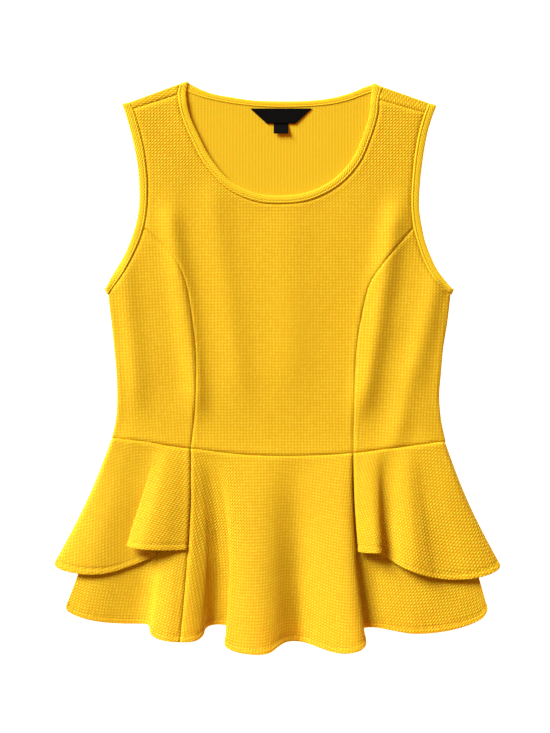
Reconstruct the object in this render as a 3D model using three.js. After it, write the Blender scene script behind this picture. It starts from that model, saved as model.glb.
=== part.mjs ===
// Sleeveless peplum top, laid face up on a flat surface.
// Millimetres. X runs across the top, Y from the hem to the neck, Z up off the surface.
// Left and right are as seen from above. The sizes are drafted from the middle of the front
// waist seam, and LAID_AT moves that point so that the part's origin is below its middle.
import * as THREE from 'three';

// Driving sizes
const CLOTH = 1.5;
const GAP = 0.3;
const SEAM_INSET = 0.16;
const LAYER = CLOTH + GAP;
const BINDING = 1.6;
const BINDING_PROUD = 0.4;
const LABEL_CLOTH = 1;
const LAID_AT = { x: 2.8, y: -96.9 };

// Upper face of each layer where the front lies on the back
const BACK_TOP = CLOTH;
const FRONT_EDGE_TOP = BACK_TOP + LAYER;
const PEPLUM_BACK_TOP = BACK_TOP + LAYER;
const PEPLUM_SIDE_TOP = PEPLUM_BACK_TOP + LAYER;
const FLOUNCE_TOP = PEPLUM_SIDE_TOP + LAYER;
const PEPLUM_FRONT_TOP = (PEPLUM_SIDE_TOP + FLOUNCE_TOP) / 2;
const BAND_FOLD_RADIUS = (FRONT_EDGE_TOP + BINDING_PROUD) / 2;

// How the front of the bodice rises off the back
const FRONT_RISE = { height: 1.6, reach: 22 };
const WAIST_LIFT = { height: 1.1, reach: 14 };
const RELIEF_FADE = 14;
const UNDERARM_Y = 180;

// How sharply the side of the bodice turns in under the armhole fold
const UNDERARM_TURN = 6;

// Grid steps
const ARMHOLE_STEPS = 2;
const NECK_STEPS = 4;
const FALL_STEPS_ACROSS = 2;
const FALL_STEPS_DOWN = 8;
const PRINCESS_STEPS = 12;
const SIDE_STEPS = 8;
const SHOULDER_STEPS = 5;
const FOLD_STEPS = 5;
const BAND_STEPS = 2;

// Waist seam, from the left side to the right side
const WAIST = [
  { x: -186.5, y: 19.5 },
  { x: -154, y: 16 },
  { x: -121, y: 11 },
  { x: -98, y: 8 },
  { x: -47.5, y: 2 },
  { x: 4, y: -0.5 },
  { x: 41, y: 0.5 },
  { x: 81, y: 3 },
  { x: 110, y: 6.5 },
  { x: 137.5, y: 10 },
  { x: 182.5, y: 15.5 },
];

// Outline of the bodice below the armholes
const SIDES = [
  { y: 15, left: -186, right: 182 },
  { y: 39, left: -180.5, right: 177 },
  { y: 65.5, left: -179, right: 175 },
  { y: 92, left: -180, right: 177 },
  { y: 118.5, left: -182.5, right: 179.5 },
  { y: 144.5, left: -185.5, right: 184 },
  { y: 164.5, left: -188.5, right: 187 },
  { y: 177, left: -190.5, right: 189 },
];

// Armhole bands from the shoulder fold to the underarm: the free edge and the seam
const ARMHOLE_LEFT = [
  { edgeX: -173.5, edgeY: 387, seamX: -164.5, seamY: 389 },
  { edgeX: -171, edgeY: 380, seamX: -161.5, seamY: 381 },
  { edgeX: -168, edgeY: 370, seamX: -158.5, seamY: 372 },
  { edgeX: -163.5, edgeY: 353.5, seamX: -154, seamY: 355.5 },
  { edgeX: -159.5, edgeY: 336, seamX: -150, seamY: 337.5 },
  { edgeX: -156.5, edgeY: 318.5, seamX: -147.5, seamY: 319.5 },
  { edgeX: -155, edgeY: 301, seamX: -146, seamY: 301.5 },
  { edgeX: -154.5, edgeY: 285.5, seamX: -146, seamY: 284.5 },
  { edgeX: -155.5, edgeY: 270, seamX: -147, seamY: 268 },
  { edgeX: -158.5, edgeY: 253.5, seamX: -150, seamY: 251 },
  { edgeX: -164, edgeY: 237, seamX: -155.5, seamY: 234.5 },
  { edgeX: -171, edgeY: 220.5, seamX: -163.5, seamY: 217.5 },
  { edgeX: -180, edgeY: 205, seamX: -173, seamY: 200.5 },
  { edgeX: -187.5, edgeY: 193, seamX: -182, seamY: 187.5 },
  { edgeX: -193.5, edgeY: 183.5, seamX: -190.5, seamY: 177 },
];
const ARMHOLE_RIGHT = [
  { edgeX: 172, edgeY: 385.5, seamX: 163, seamY: 388 },
  { edgeX: 168, edgeY: 375, seamX: 159, seamY: 377 },
  { edgeX: 165, edgeY: 365.5, seamX: 156, seamY: 367.5 },
  { edgeX: 162, edgeY: 355, seamX: 153, seamY: 356.5 },
  { edgeX: 158.5, edgeY: 337, seamX: 149.5, seamY: 339 },
  { edgeX: 156, edgeY: 319.5, seamX: 147, seamY: 320.5 },
  { edgeX: 154, edgeY: 302, seamX: 145.5, seamY: 302.5 },
  { edgeX: 153, edgeY: 285.5, seamX: 144.5, seamY: 284.5 },
  { edgeX: 153, edgeY: 270, seamX: 145, seamY: 268 },
  { edgeX: 155.5, edgeY: 253.5, seamX: 147, seamY: 250.5 },
  { edgeX: 159, edgeY: 237, seamX: 151.5, seamY: 234 },
  { edgeX: 164.5, edgeY: 221.5, seamX: 157, seamY: 217.5 },
  { edgeX: 172, edgeY: 205.5, seamX: 165.5, seamY: 200.5 },
  { edgeX: 181, edgeY: 193.5, seamX: 175.5, seamY: 188 },
  { edgeX: 191.5, edgeY: 182.5, seamX: 189, seamY: 177 },
];

// Rows where a princess seam meets the armhole, and where the straps start at the neck
const PRINCESS_ROW = 9;
const STRAP_ROWS = { left: 5, right: 9 };

// Neck band: the free edge and the seam, from the left shoulder fold to the right one
const NECK_FRONT = [
  { edgeX: -102, edgeY: 412, seamX: -111.5, seamY: 408.5 },
  { edgeX: -103.5, edgeY: 397.5, seamX: -112.5, seamY: 397 },
  { edgeX: -99.5, edgeY: 375, seamX: -108, seamY: 373 },
  { edgeX: -89, edgeY: 351, seamX: -97, seamY: 346.5 },
  { edgeX: -75.5, edgeY: 326, seamX: -83, seamY: 320.5 },
  { edgeX: -54, edgeY: 301.5, seamX: -59, seamY: 294 },
  { edgeX: -26, edgeY: 288.5, seamX: -28.5, seamY: 280 },
  { edgeX: 2, edgeY: 286, seamX: 2, seamY: 277 },
  { edgeX: 30.5, edgeY: 289.5, seamX: 33, seamY: 281 },
  { edgeX: 58.5, edgeY: 303.5, seamX: 64, seamY: 296.5 },
  { edgeX: 79.5, edgeY: 326, seamX: 87, seamY: 321 },
  { edgeX: 92, edgeY: 354, seamX: 100.5, seamY: 351 },
  { edgeX: 98.5, edgeY: 376, seamX: 107.5, seamY: 375 },
  { edgeX: 100, edgeY: 392, seamX: 109, seamY: 391 },
  { edgeX: 103, edgeY: 410, seamX: 113.5, seamY: 405.5 },
];
const NECK_BACK = [
  { edgeX: -102, edgeY: 412, seamX: -111.5, seamY: 408.5 },
  { edgeX: -94.5, edgeY: 406.5, seamX: -101.5, seamY: 400 },
  { edgeX: -84.5, edgeY: 401.5, seamX: -89, seamY: 394.5 },
  { edgeX: -70.5, edgeY: 397, seamX: -73, seamY: 390.5 },
  { edgeX: -53, edgeY: 394, seamX: -54.5, seamY: 387 },
  { edgeX: -28.5, edgeY: 390.5, seamX: -29.5, seamY: 384 },
  { edgeX: 1, edgeY: 389.5, seamX: 1, seamY: 382.5 },
  { edgeX: 31, edgeY: 390, seamX: 32, seamY: 383.5 },
  { edgeX: 53, edgeY: 392.5, seamX: 55, seamY: 385.5 },
  { edgeX: 70.5, edgeY: 396.5, seamX: 73.5, seamY: 389.5 },
  { edgeX: 83.5, edgeY: 401, seamX: 88, seamY: 394.5 },
  { edgeX: 94.5, edgeY: 406, seamX: 101.5, seamY: 399.5 },
  { edgeX: 103, edgeY: 410, seamX: 113.5, seamY: 405.5 },
];

// Rows of the neck band at the shoulder folds, and rows of the bands at the forward shoulder seams
const SHOULDER_SEAM = {
  left: { neckFold: 0, armhole: 1, neck: 1 },
  right: { neckFold: 14, armhole: 1, neck: 13 },
};

// Princess seams from the waist to the armhole
const PRINCESS_LEFT = [
  { x: -98, y: 8 },
  { x: -95, y: 36 },
  { x: -92.5, y: 75 },
  { x: -92.5, y: 112 },
  { x: -96, y: 148 },
  { x: -102, y: 185 },
  { x: -112, y: 211 },
  { x: -130.5, y: 233.5 },
  { x: -150, y: 251 },
];
const PRINCESS_RIGHT = [
  { x: 81, y: 3 },
  { x: 81, y: 33 },
  { x: 82, y: 72 },
  { x: 83.5, y: 110 },
  { x: 88.5, y: 148 },
  { x: 97, y: 184 },
  { x: 110, y: 207 },
  { x: 128.5, y: 229.5 },
  { x: 147, y: 250.5 },
];

// Soft ridges, and troughs of negative height, along the front of the bodice
const BODICE_RELIEF = [
  { x: -172, y: 212, toX: -158, toY: 80, reach: 12, height: 0.9 },
  { x: -119, y: 250, toX: -92, toY: 70, reach: 11, height: 2.4 },
  { x: -72, y: 270, toX: -44, toY: 90, reach: 13, height: 1.3 },
  { x: 10, y: 235, toX: 12, toY: 120, reach: 20, height: 1 },
  { x: 125, y: 250, toX: 94, toY: 70, reach: 12.5, height: 2.4 },
  { x: 172, y: 190, toX: 130, toY: 30, reach: 12, height: 0.4 },
];

// Peplum and flounce folds. Each row is a line of the cloth from the waist seam to the hem:
// where it leaves the waist, where it ends at the hem, the height of its upper face at the hem,
// how far it bows to the side half way down, and top where it leaves the waist lower than usual.
const PEPLUM_FRONT = [
  { waist: -98.2, x: -109.3, y: -204.3, z: 24, bow: 3.2 },
  { waist: -96, x: -99, y: -204.1, z: 24.4, bow: 3.2 },
  { waist: -93.5, x: -90.2, y: -201.9, z: 22, bow: 3.3 },
  { waist: -90.5, x: -84.7, y: -196.9, z: 18, bow: 5.5 },
  { waist: -87, x: -81.4, y: -189.5, z: 11, bow: 7.7 },
  { waist: -82.5, x: -73.7, y: -186, z: 5.4, bow: 8.8 },
  { waist: -77.5, x: -62.7, y: -185.8, z: 5.2, bow: 8.2 },
  { waist: -73, x: -54.5, y: -188.1, z: 6.2, bow: 7.7 },
  { waist: -69, x: -55.5, y: -192, z: 9.2, bow: 7.6 },
  { waist: -65, x: -60, y: -200.8, z: 12.6, bow: 7.2 },
  { waist: -60.5, x: -60, y: -209.2, z: 16, bow: 6 },
  { waist: -53.5, x: -50.5, y: -214.6, z: 20.2, bow: 4.2 },
  { waist: -42, x: -36.5, y: -217.3, z: 24.4, bow: 2.4 },
  { waist: -29.5, x: -22, y: -218, z: 26, bow: 0.6 },
  { waist: -18, x: -10.5, y: -215.7, z: 24.4, bow: 0 },
  { waist: -8.5, x: -1.5, y: -209.1, z: 20.2, bow: 0 },
  { waist: -1, x: 6, y: -204.8, z: 15, bow: 0 },
  { waist: 7, x: 14.5, y: -203.6, z: 9.4, bow: 0.3 },
  { waist: 15, x: 22.5, y: -204.3, z: 6.4, bow: 0.6 },
  { waist: 24, x: 31, y: -206.3, z: 8.2, bow: 0.8 },
  { waist: 35.5, x: 43.5, y: -210.8, z: 14, bow: 0 },
  { waist: 47.5, x: 57.5, y: -215.2, z: 19.8, bow: -1.1 },
  { waist: 59, x: 71.5, y: -216.8, z: 24.4, bow: -2.3 },
  { waist: 68, x: 84.5, y: -214.8, z: 26.4, bow: -3.3 },
  { waist: 74, x: 92.5, y: -209.8, z: 23.8, bow: -3.6 },
  { waist: 77.4, x: 94.4, y: -202.5, z: 18, bow: -3.7 },
  { waist: 80, x: 90.5, y: -194.2, z: 12, bow: -3.4 },
];
const PEPLUM_SIDE_LEFT = [
  { waist: -180.2, x: -235.4, y: -165.6, z: 5.1, bow: 5.4 },
  { waist: -179.2, x: -234.2, y: -170, z: 5.5, bow: 5.2 },
  { waist: -176.8, x: -228.8, y: -173.8, z: 6.6, bow: 4.5 },
  { waist: -171, x: -215.6, y: -178.8, z: 8.6, bow: 3 },
  { waist: -161, x: -196.9, y: -182.6, z: 8.8, bow: 2 },
  { waist: -151, x: -176, y: -184.3, z: 7, bow: 1.1 },
  { waist: -142.5, x: -158, y: -184.6, z: 5.8, bow: 1.6 },
  { waist: -136, x: -147.5, y: -184.9, z: 8, bow: 2.6 },
  { waist: -131.5, x: -143, y: -187.5, z: 11.5, bow: 3.3 },
  { waist: -127.5, x: -142.5, y: -192.5, z: 14.8, bow: 3.7 },
  { waist: -123, x: -140.5, y: -197.3, z: 18, bow: 3.9 },
  { waist: -117, x: -133.5, y: -201.2, z: 21.6, bow: 3.9 },
  { waist: -109, x: -123, y: -203.4, z: 24.4, bow: 3.5 },
  { waist: -98.8, x: -110.1, y: -204.3, z: 24, bow: 3.2 },
];
const PEPLUM_SIDE_RIGHT = [
  { waist: 80.8, x: 89.8, y: -192.5, z: 9.4, bow: -3.2 },
  { waist: 84, x: 90.8, y: -189.8, z: 6.6, bow: -2.4 },
  { waist: 89.5, x: 97, y: -188.7, z: 5.4, bow: -1 },
  { waist: 99, x: 107.8, y: -189.1, z: 5.5, bow: 0 },
  { waist: 114, x: 123.2, y: -192, z: 7.8, bow: 0 },
  { waist: 131, x: 145.2, y: -195.5, z: 10, bow: 0 },
  { waist: 147, x: 169.4, y: -194.6, z: 9.6, bow: 0 },
  { waist: 160, x: 191.4, y: -190.9, z: 8.4, bow: 0 },
  { waist: 170, x: 211.2, y: -184.7, z: 7, bow: 0 },
  { waist: 174.5, x: 222.2, y: -178.8, z: 6, bow: 0 },
  { waist: 176.4, x: 226.7, y: -172.7, z: 5.4, bow: 0 },
  { waist: 177.2, x: 228, y: -168.3, z: 5.1, bow: 0 },
];
const FLOUNCE_LEFT = [
  { waist: -184.9, top: 3.3, x: -248, y: -117.8, z: 3.3, bow: 4.2 },
  { waist: -184.1, top: 5.2, x: -246.8, y: -121.6, z: 5, bow: 4.2 },
  { waist: -181.8, x: -241.5, y: -124.9, z: 7.6, bow: 3.8 },
  { waist: -176, x: -226.6, y: -128.8, z: 11.4, bow: 2.6 },
  { waist: -168, x: -206.8, y: -130.6, z: 13.4, bow: 1.1 },
  { waist: -160, x: -187, y: -128.4, z: 12, bow: 0.3 },
  { waist: -152, x: -167.2, y: -122.3, z: 9.6, bow: -0.6 },
  { waist: -146, x: -149.6, y: -115.3, z: 9.2, bow: -1 },
  { waist: -142.5, x: -139.4, y: -111, z: 10.1, bow: -1.4 },
  { waist: -139.5, x: -136.4, y: -109, z: 11.5, bow: -2 },
  { waist: -137, x: -140.9, y: -106.8, z: 13, bow: -2.6 },
  { waist: -135, x: -152.9, y: -103.5, z: 13.6, bow: -2.6 },
  { waist: -133, x: -163.6, y: -100.5, z: 15, bow: -2.2 },
  { waist: -130.5, x: -168.3, y: -98.8, z: 17.4, bow: -1.6 },
  { waist: -127, x: -164.4, y: -100.2, z: 21, bow: -0.6 },
  { waist: -121, x: -151.8, y: -102.4, z: 26.2, bow: 0.6 },
  { waist: -113, x: -134, y: -103.5, z: 25.6, bow: 1.3 },
  { waist: -105.5, x: -117, y: -103.5, z: 22.2, bow: 1.7 },
  { waist: -98.8, x: -102.3, y: -103.1, z: 18.9, bow: 1.7 },
];
const FLOUNCE_RIGHT = [
  { waist: 80.8, x: 85.6, y: -105.1, z: 13.4, bow: -1.2 },
  { waist: 84, x: 88.8, y: -105.9, z: 16, bow: -1.2 },
  { waist: 91.5, x: 96.8, y: -106.6, z: 20.6, bow: -1 },
  { waist: 100.5, x: 105.6, y: -106.8, z: 23.4, bow: -0.6 },
  { waist: 107, x: 111.1, y: -106.4, z: 21.4, bow: -0.6 },
  { waist: 109.6, x: 111.5, y: -106.6, z: 18, bow: -0.6 },
  { waist: 111.4, x: 109, y: -107.4, z: 14, bow: 0 },
  { waist: 113.2, x: 109.4, y: -108.6, z: 10.6, bow: 0.6 },
  { waist: 115.6, x: 115.1, y: -111.2, z: 9.2, bow: 0.6 },
  { waist: 119, x: 120.6, y: -114.2, z: 10, bow: 0.6 },
  { waist: 123.2, x: 126, y: -117.6, z: 13, bow: 0.8 },
  { waist: 129.5, x: 136, y: -123.1, z: 17.6, bow: 0.6 },
  { waist: 137.5, x: 149, y: -128.5, z: 20, bow: 0 },
  { waist: 144.5, x: 162, y: -132.4, z: 17.6, bow: -0.6 },
  { waist: 151.5, x: 175, y: -134.9, z: 13.4, bow: -1.3 },
  { waist: 160.6, x: 193.6, y: -136.2, z: 11.8, bow: -2.2 },
  { waist: 169, x: 213.4, y: -134.8, z: 11.4, bow: -3 },
  { waist: 175, x: 228.8, y: -131, z: 9.6, bow: -3.8 },
  { waist: 178.6, x: 237.8, y: -126.8, z: 7.2, bow: -4.2 },
  { waist: 180.4, top: 5.2, x: 241.2, y: -123.3, z: 5, bow: -4.3 },
  { waist: 181.2, top: 3.3, x: 242.3, y: -120.5, z: 3.3, bow: -4.3 },
];
const FALL_CURVE = 0.75;

// Hems of the two tiers on the back, from the left side to the right side
const FLOUNCE_BACK_HEM = [
  { x: -248, y: -117.8 },
  { x: -244, y: -122.5 },
  { x: -226, y: -127.5 },
  { x: -198, y: -129.5 },
  { x: -130, y: -131 },
  { x: 0, y: -132.5 },
  { x: 130, y: -133 },
  { x: 198, y: -134.5 },
  { x: 226, y: -131 },
  { x: 238.5, y: -125.5 },
  { x: 242.3, y: -120.5 },
];
const PEPLUM_BACK_HEM = [
  { x: -235.4, y: -165.6 },
  { x: -232, y: -171 },
  { x: -220, y: -176.5 },
  { x: -196, y: -180 },
  { x: -130, y: -181.5 },
  { x: 0, y: -182.5 },
  { x: 130, y: -183 },
  { x: 192, y: -182 },
  { x: 214, y: -178 },
  { x: 225, y: -172.5 },
  { x: 228, y: -168.3 },
];

// Neck label: a trapezoid with a small tab under it
const LABEL = [
  { x: -32.5, y: 381.5 },
  { x: -14.5, y: 365 },
  { x: -7, y: 365 },
  { x: -7, y: 354 },
  { x: 9, y: 354 },
  { x: 9, y: 365 },
  { x: 17, y: 365 },
  { x: 35, y: 381.5 },
];

// Curves and patches

const clamp = (value) => Math.min(Math.max(value, 0), 1);
const smoothStep = (value) => clamp(value) ** 2 * (3 - 2 * clamp(value));
const mix = (a, b, share) => a + (b - a) * share;
const lastOf = (rows) => rows[rows.length - 1];
const rowEdge = (row) => [row.edgeX, row.edgeY];
const rowSeam = (row) => [row.seamX, row.seamY];

// A smooth curve through values at rising keys
function spline(keys, values) {
  const last = keys.length - 1;
  const slopes = keys.map((key, i) => {
    const low = Math.max(i - 1, 0);
    const high = Math.min(i + 1, last);
    return (values[high] - values[low]) / (keys[high] - keys[low]);
  });
  return (at) => {
    let i = 0;
    while (i < last - 1 && at > keys[i + 1]) i += 1;
    const span = keys[i + 1] - keys[i];
    const t = clamp((at - keys[i]) / span);
    const startPull = slopes[i] * span * t * (1 - t) * (1 - t);
    const endPull = slopes[i + 1] * span * t * t * (1 - t);
    return mix(values[i], values[i + 1], smoothStep(t)) + startPull - endPull;
  };
}

// A table's column as a smooth function of its row number, or of another column
function byRow(rows, column) {
  return spline(rows.map((row, i) => i), rows.map((row) => row[column]));
}
function byColumn(rows, key, column) {
  const sorted = [...rows].sort((a, b) => a[key] - b[key]);
  return spline(sorted.map((row) => row[key]), sorted.map((row) => row[column]));
}

// A flat curve [x, y] through a table's rows, over a stretch of row numbers
function lineOf(rows, xColumn = 'x', yColumn = 'y', from = 0, to = rows.length - 1) {
  const x = byRow(rows, xColumn);
  const y = byRow(rows, yColumn);
  return (share) => [x(mix(from, to, share)), y(mix(from, to, share))];
}
function straight(start, end) {
  return (share) => [mix(start[0], end[0], share), mix(start[1], end[1], share)];
}

// The flat patch between four edges that meet at their corners. Its rows are spaced as the side
// edges climb.
function patch(bottom, top, left, right) {
  const corners = [bottom(0), bottom(1), top(0), top(1)];
  const climb = (line, t) => (line(t)[1] - line(0)[1]) / (line(1)[1] - line(0)[1]);
  return (s, t) => [0, 1].map((axis) => {
    const height = (climb(left, t) + climb(right, t)) / 2;
    const across = mix(left(t)[axis], right(t)[axis], s);
    const up = mix(bottom(s)[axis], top(s)[axis], height);
    const low = mix(corners[0][axis], corners[1][axis], s);
    const high = mix(corners[2][axis], corners[3][axis], s);
    return across + up - mix(low, high, height);
  });
}

// Heights of the front of the bodice

const waistY = byColumn(WAIST, 'x', 'y');
const sideLeft = byColumn(SIDES, 'y', 'left');
const sideRight = byColumn(SIDES, 'y', 'right');
const armholeLeft = byColumn(ARMHOLE_LEFT, 'edgeY', 'edgeX');
const armholeRight = byColumn(ARMHOLE_RIGHT, 'edgeY', 'edgeX');

// How far a place lies inside the outline at the sides and shoulder folds
function insideOutline(x, y) {
  const low = y < UNDERARM_Y;
  const left = low ? sideLeft(y) : armholeLeft(y);
  const right = low ? sideRight(y) : armholeRight(y);
  const ridges = [[ARMHOLE_LEFT[0], NECK_FRONT[0]], [ARMHOLE_RIGHT[0], lastOf(NECK_FRONT)]];
  const belowRidge = ridges.map(([outer, inner]) => {
    const slope = (inner.seamY - outer.seamY) / (inner.seamX - outer.seamX);
    return (outer.seamY + slope * (x - outer.seamX) - y) / Math.hypot(1, slope);
  });
  return Math.max(0, Math.min(x - left, right - x, ...belowRidge));
}

// Height of a soft ridge above the place, fading beyond its two ends
function ridgeHeight(ridge, x, y) {
  const length = Math.hypot(ridge.toX - ridge.x, ridge.toY - ridge.y);
  const along = ((x - ridge.x) * (ridge.toX - ridge.x) + (y - ridge.y) * (ridge.toY - ridge.y)) / length;
  const beyond = Math.max(0, -along, along - length) / (ridge.reach * 2);
  const aside = ((x - ridge.x) * (ridge.toY - ridge.y) - (y - ridge.y) * (ridge.toX - ridge.x)) / length;
  return ridge.height * Math.exp(-((aside / ridge.reach) ** 2) - beyond ** 2);
}

function frontTop(x, y) {
  const inside = insideOutline(x, y);
  const rise = FRONT_RISE.height * smoothStep(inside / FRONT_RISE.reach);
  const fromWaist = (y - waistY(x)) / WAIST_LIFT.reach;
  const lift = WAIST_LIFT.height * Math.exp(-(fromWaist ** 2)) * smoothStep(inside / FRONT_RISE.reach);
  const relief = BODICE_RELIEF.reduce((sum, ridge) => sum + ridgeHeight(ridge, x, y), 0);
  return FRONT_EDGE_TOP + rise + lift + relief * smoothStep(inside / RELIEF_FADE);
}

// Walls

// A closed wall. Its outer faces turn anticlockwise seen from outside. Their outline is drawn in
// a little, so that the wall stops just short of its seams, and the inner faces are their copy,
// moved inwards along the normals.
function wall(points, faces, thickness) {
  const normals = points.map(() => new THREE.Vector3());
  const outline = new Map();
  for (const face of faces) {
    const [a, b, c] = face.map((corner) => points[corner]);
    const d = face.length > 3 ? points[face[3]] : a;
    const normal = c.clone().sub(a).cross(d.clone().sub(b));
    face.forEach((from, k) => {
      const to = face[(k + 1) % face.length];
      normals[from].add(normal);
      if (!outline.delete(`${to},${from}`)) outline.set(`${from},${to}`, [from, to]);
    });
  }
  for (const normal of normals) normal.normalize();
  const along = new Map();
  for (const [from, to] of outline.values()) {
    const edge = points[to].clone().sub(points[from]).normalize();
    for (const end of [from, to]) along.set(end, (along.get(end) ?? new THREE.Vector3()).add(edge));
  }
  const outer = points.map((point, i) => {
    if (!along.has(i)) return point;
    return point.clone().addScaledVector(normals[i].clone().cross(along.get(i)).normalize(), SEAM_INSET);
  });
  const inner = outer.map((point, i) => point.clone().addScaledVector(normals[i], -thickness));
  const count = points.length;
  const triangles = [];
  for (const face of faces) {
    for (let k = 1; k < face.length - 1; k += 1) {
      const [a, b, c] = [face[0], face[k], face[k + 1]];
      triangles.push(a, b, c, count + a, count + c, count + b);
    }
  }
  for (const [from, to] of outline.values()) {
    triangles.push(to, from, count + from, to, count + from, count + to);
  }
  const geometry = new THREE.BufferGeometry();
  const places = [...outer, ...inner].flatMap((point) => point.toArray());
  geometry.setAttribute('position', new THREE.Float32BufferAttribute(places, 3));
  geometry.setIndex(triangles);
  geometry.computeVertexNormals();
  return geometry;
}

// Quads between neighbouring points of a grid whose point (i, j) has number i * (rows + 1) + j
function gridFaces(columns, rows, closed = false) {
  const faces = [];
  const around = closed ? columns : columns + 1;
  const at = (i, j) => (i % around) * (rows + 1) + j;
  for (let i = 0; i < columns; i += 1) {
    for (let j = 0; j < rows; j += 1) faces.push([at(i, j), at(i + 1, j), at(i + 1, j + 1), at(i, j + 1)]);
  }
  return faces;
}
function gridPoints(columns, rows, place) {
  const points = [];
  for (let i = 0; i < columns; i += 1) {
    for (let j = 0; j < rows; j += 1) points.push(place(i, j));
  }
  return points;
}

// A front panel of one or more blocks at the height of the front. Each block has a bottom, top,
// left and right edge with its number of columns and rows, and blocks share the points where
// they meet.
function frontPanel(blocks) {
  const points = [];
  const numbers = new Map();
  const numberOf = ([x, y]) => {
    const key = `${x.toFixed(3)},${y.toFixed(3)}`;
    if (!numbers.has(key)) {
      numbers.set(key, points.length);
      points.push(new THREE.Vector3(x, y, frontTop(x, y)));
    }
    return numbers.get(key);
  };
  const faces = blocks.flatMap(({ edges, columns, rows }) => {
    const place = patch(...edges);
    const grid = gridPoints(columns + 1, rows + 1, (i, j) => numberOf(place(i / columns, j / rows)));
    return gridFaces(columns, rows).map((face) => face.map((corner) => grid[corner]));
  });
  return wall(points, faces, CLOTH);
}

// A peplum or flounce panel that falls in folds from the waist seam
function fallingPanel(rows, usualTop) {
  const [waist, x, y, z, bow] = ['waist', 'x', 'y', 'z', 'bow'].map((name) => byRow(rows, name));
  const top = byRow(rows.map((row) => ({ top: row.top ?? usualTop })), 'top');
  const columns = (rows.length - 1) * FALL_STEPS_ACROSS;
  const points = gridPoints(columns + 1, FALL_STEPS_DOWN + 1, (i, j) => {
    const row = i / FALL_STEPS_ACROSS;
    const down = 1 - j / FALL_STEPS_DOWN;
    const fromX = waist(row);
    return new THREE.Vector3(
      mix(fromX, x(row), down) + bow(row) * Math.sin(Math.PI * down),
      mix(waistY(fromX), y(row), down),
      mix(top(row), z(row), down ** FALL_CURVE),
    );
  });
  return wall(points, gridFaces(columns, FALL_STEPS_DOWN), CLOTH);
}

// A flat panel of the given outline, lying with its underside at a height
function flatPanel(outline, underside, thickness = CLOTH) {
  const flat = outline.map(([x, y]) => new THREE.Vector2(x, y));
  if (THREE.ShapeUtils.isClockWise(flat)) flat.reverse();
  const points = flat.map((point) => new THREE.Vector3(point.x, point.y, underside + thickness));
  return wall(points, THREE.ShapeUtils.triangulateShape(flat, []), thickness);
}

// A point of a fold, whose steps run from the lower layer round to the upper one. Place is where
// the fold line passes, seen from above, outward points away from the garment, and radius is half
// the height of the two layers.
function foldPoint(place, outward, radius, step) {
  const angle = Math.PI * (step / FOLD_STEPS - 0.5);
  const out = radius * (Math.cos(angle) - 1);
  return new THREE.Vector3(
    place[0] + outward[0] * out,
    place[1] + outward[1] * out,
    radius * (1 + Math.sin(angle)),
  );
}
function outwardOf(start, end) {
  const length = Math.hypot(end[0] - start[0], end[1] - start[1]);
  return [(start[1] - end[1]) / length, (end[0] - start[0]) / length];
}
function pulledBack(place, outward, radius) {
  return [place[0] - outward[0] * radius, place[1] - outward[1] * radius];
}

// Bands

// A band round an opening that is folded flat: its front half lies on the front, its back half on
// the surface, and it turns over at the fold at each end. Both halves run from the first fold to
// the second. outwards holds the direction away from the garment at each fold.
function band(frontRows, backRows, outwards, edgeFirst, stepsPerRow) {
  const edges = (rows) => [lineOf(rows, 'edgeX', 'edgeY'), lineOf(rows, 'seamX', 'seamY')];
  const [frontEdge, frontSeam] = edges(frontRows);
  const [backEdge, backSeam] = edges(backRows);
  const frontSteps = (frontRows.length - 1) * stepsPerRow;
  const backSteps = (backRows.length - 1) * stepsPerRow;
  const radius = BAND_FOLD_RADIUS;
  const across = (edge, seam, share, j) => {
    const width = edgeFirst ? j / BAND_STEPS : 1 - j / BAND_STEPS;
    return straight(edge(share), seam(share))(width);
  };
  const clearOfFold = (flat, share) => (share % 1 ? flat : pulledBack(flat, outwards[share], radius));
  const columns = [];
  for (let i = 0; i <= frontSteps; i += 1) {
    columns.push((j) => {
      const share = i / frontSteps;
      const [x, y] = clearOfFold(across(frontEdge, frontSeam, share, j), share);
      return new THREE.Vector3(x, y, share % 1 ? frontTop(x, y) + BINDING_PROUD : 2 * radius);
    });
  }
  for (let k = 1; k < FOLD_STEPS; k += 1) {
    columns.push((j) => foldPoint(across(frontEdge, frontSeam, 1, j), outwards[1], radius, FOLD_STEPS - k));
  }
  for (let i = backSteps; i >= 0; i -= 1) {
    columns.push((j) => {
      const share = i / backSteps;
      const [x, y] = clearOfFold(across(backEdge, backSeam, share, j), share);
      return new THREE.Vector3(x, y, 0);
    });
  }
  for (let k = 1; k < FOLD_STEPS; k += 1) {
    columns.push((j) => foldPoint(across(frontEdge, frontSeam, 0, j), outwards[0], radius, k));
  }
  const points = gridPoints(columns.length, BAND_STEPS + 1, (i, j) => columns[i](j));
  return wall(points, gridFaces(columns.length, BAND_STEPS, true), BINDING);
}

function armholeBand(rows, isLeft) {
  const ends = [rows[0], lastOf(rows)].map((row) => [rowEdge(row), rowSeam(row)]);
  const outwards = isLeft
    ? [outwardOf(ends[0][0], ends[0][1]), outwardOf(ends[1][1], ends[1][0])]
    : [outwardOf(ends[0][1], ends[0][0]), outwardOf(ends[1][0], ends[1][1])];
  return band(rows, rows, outwards, isLeft, ARMHOLE_STEPS);
}

function neckBand() {
  const ends = [NECK_FRONT[0], lastOf(NECK_FRONT)];
  const outwards = [
    outwardOf(rowSeam(ends[0]), rowEdge(ends[0])),
    outwardOf(rowEdge(ends[1]), rowSeam(ends[1])),
  ];
  return band(NECK_FRONT, NECK_BACK, outwards, false, NECK_STEPS);
}

// Bodice panels

const seamLine = (rows, from, to) => lineOf(rows, 'seamX', 'seamY', from, to);
const waistLine = (fromX, toX, above = 0) => (share) => {
  const x = mix(fromX, toX, share);
  return [x, waistY(x) + above];
};

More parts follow.
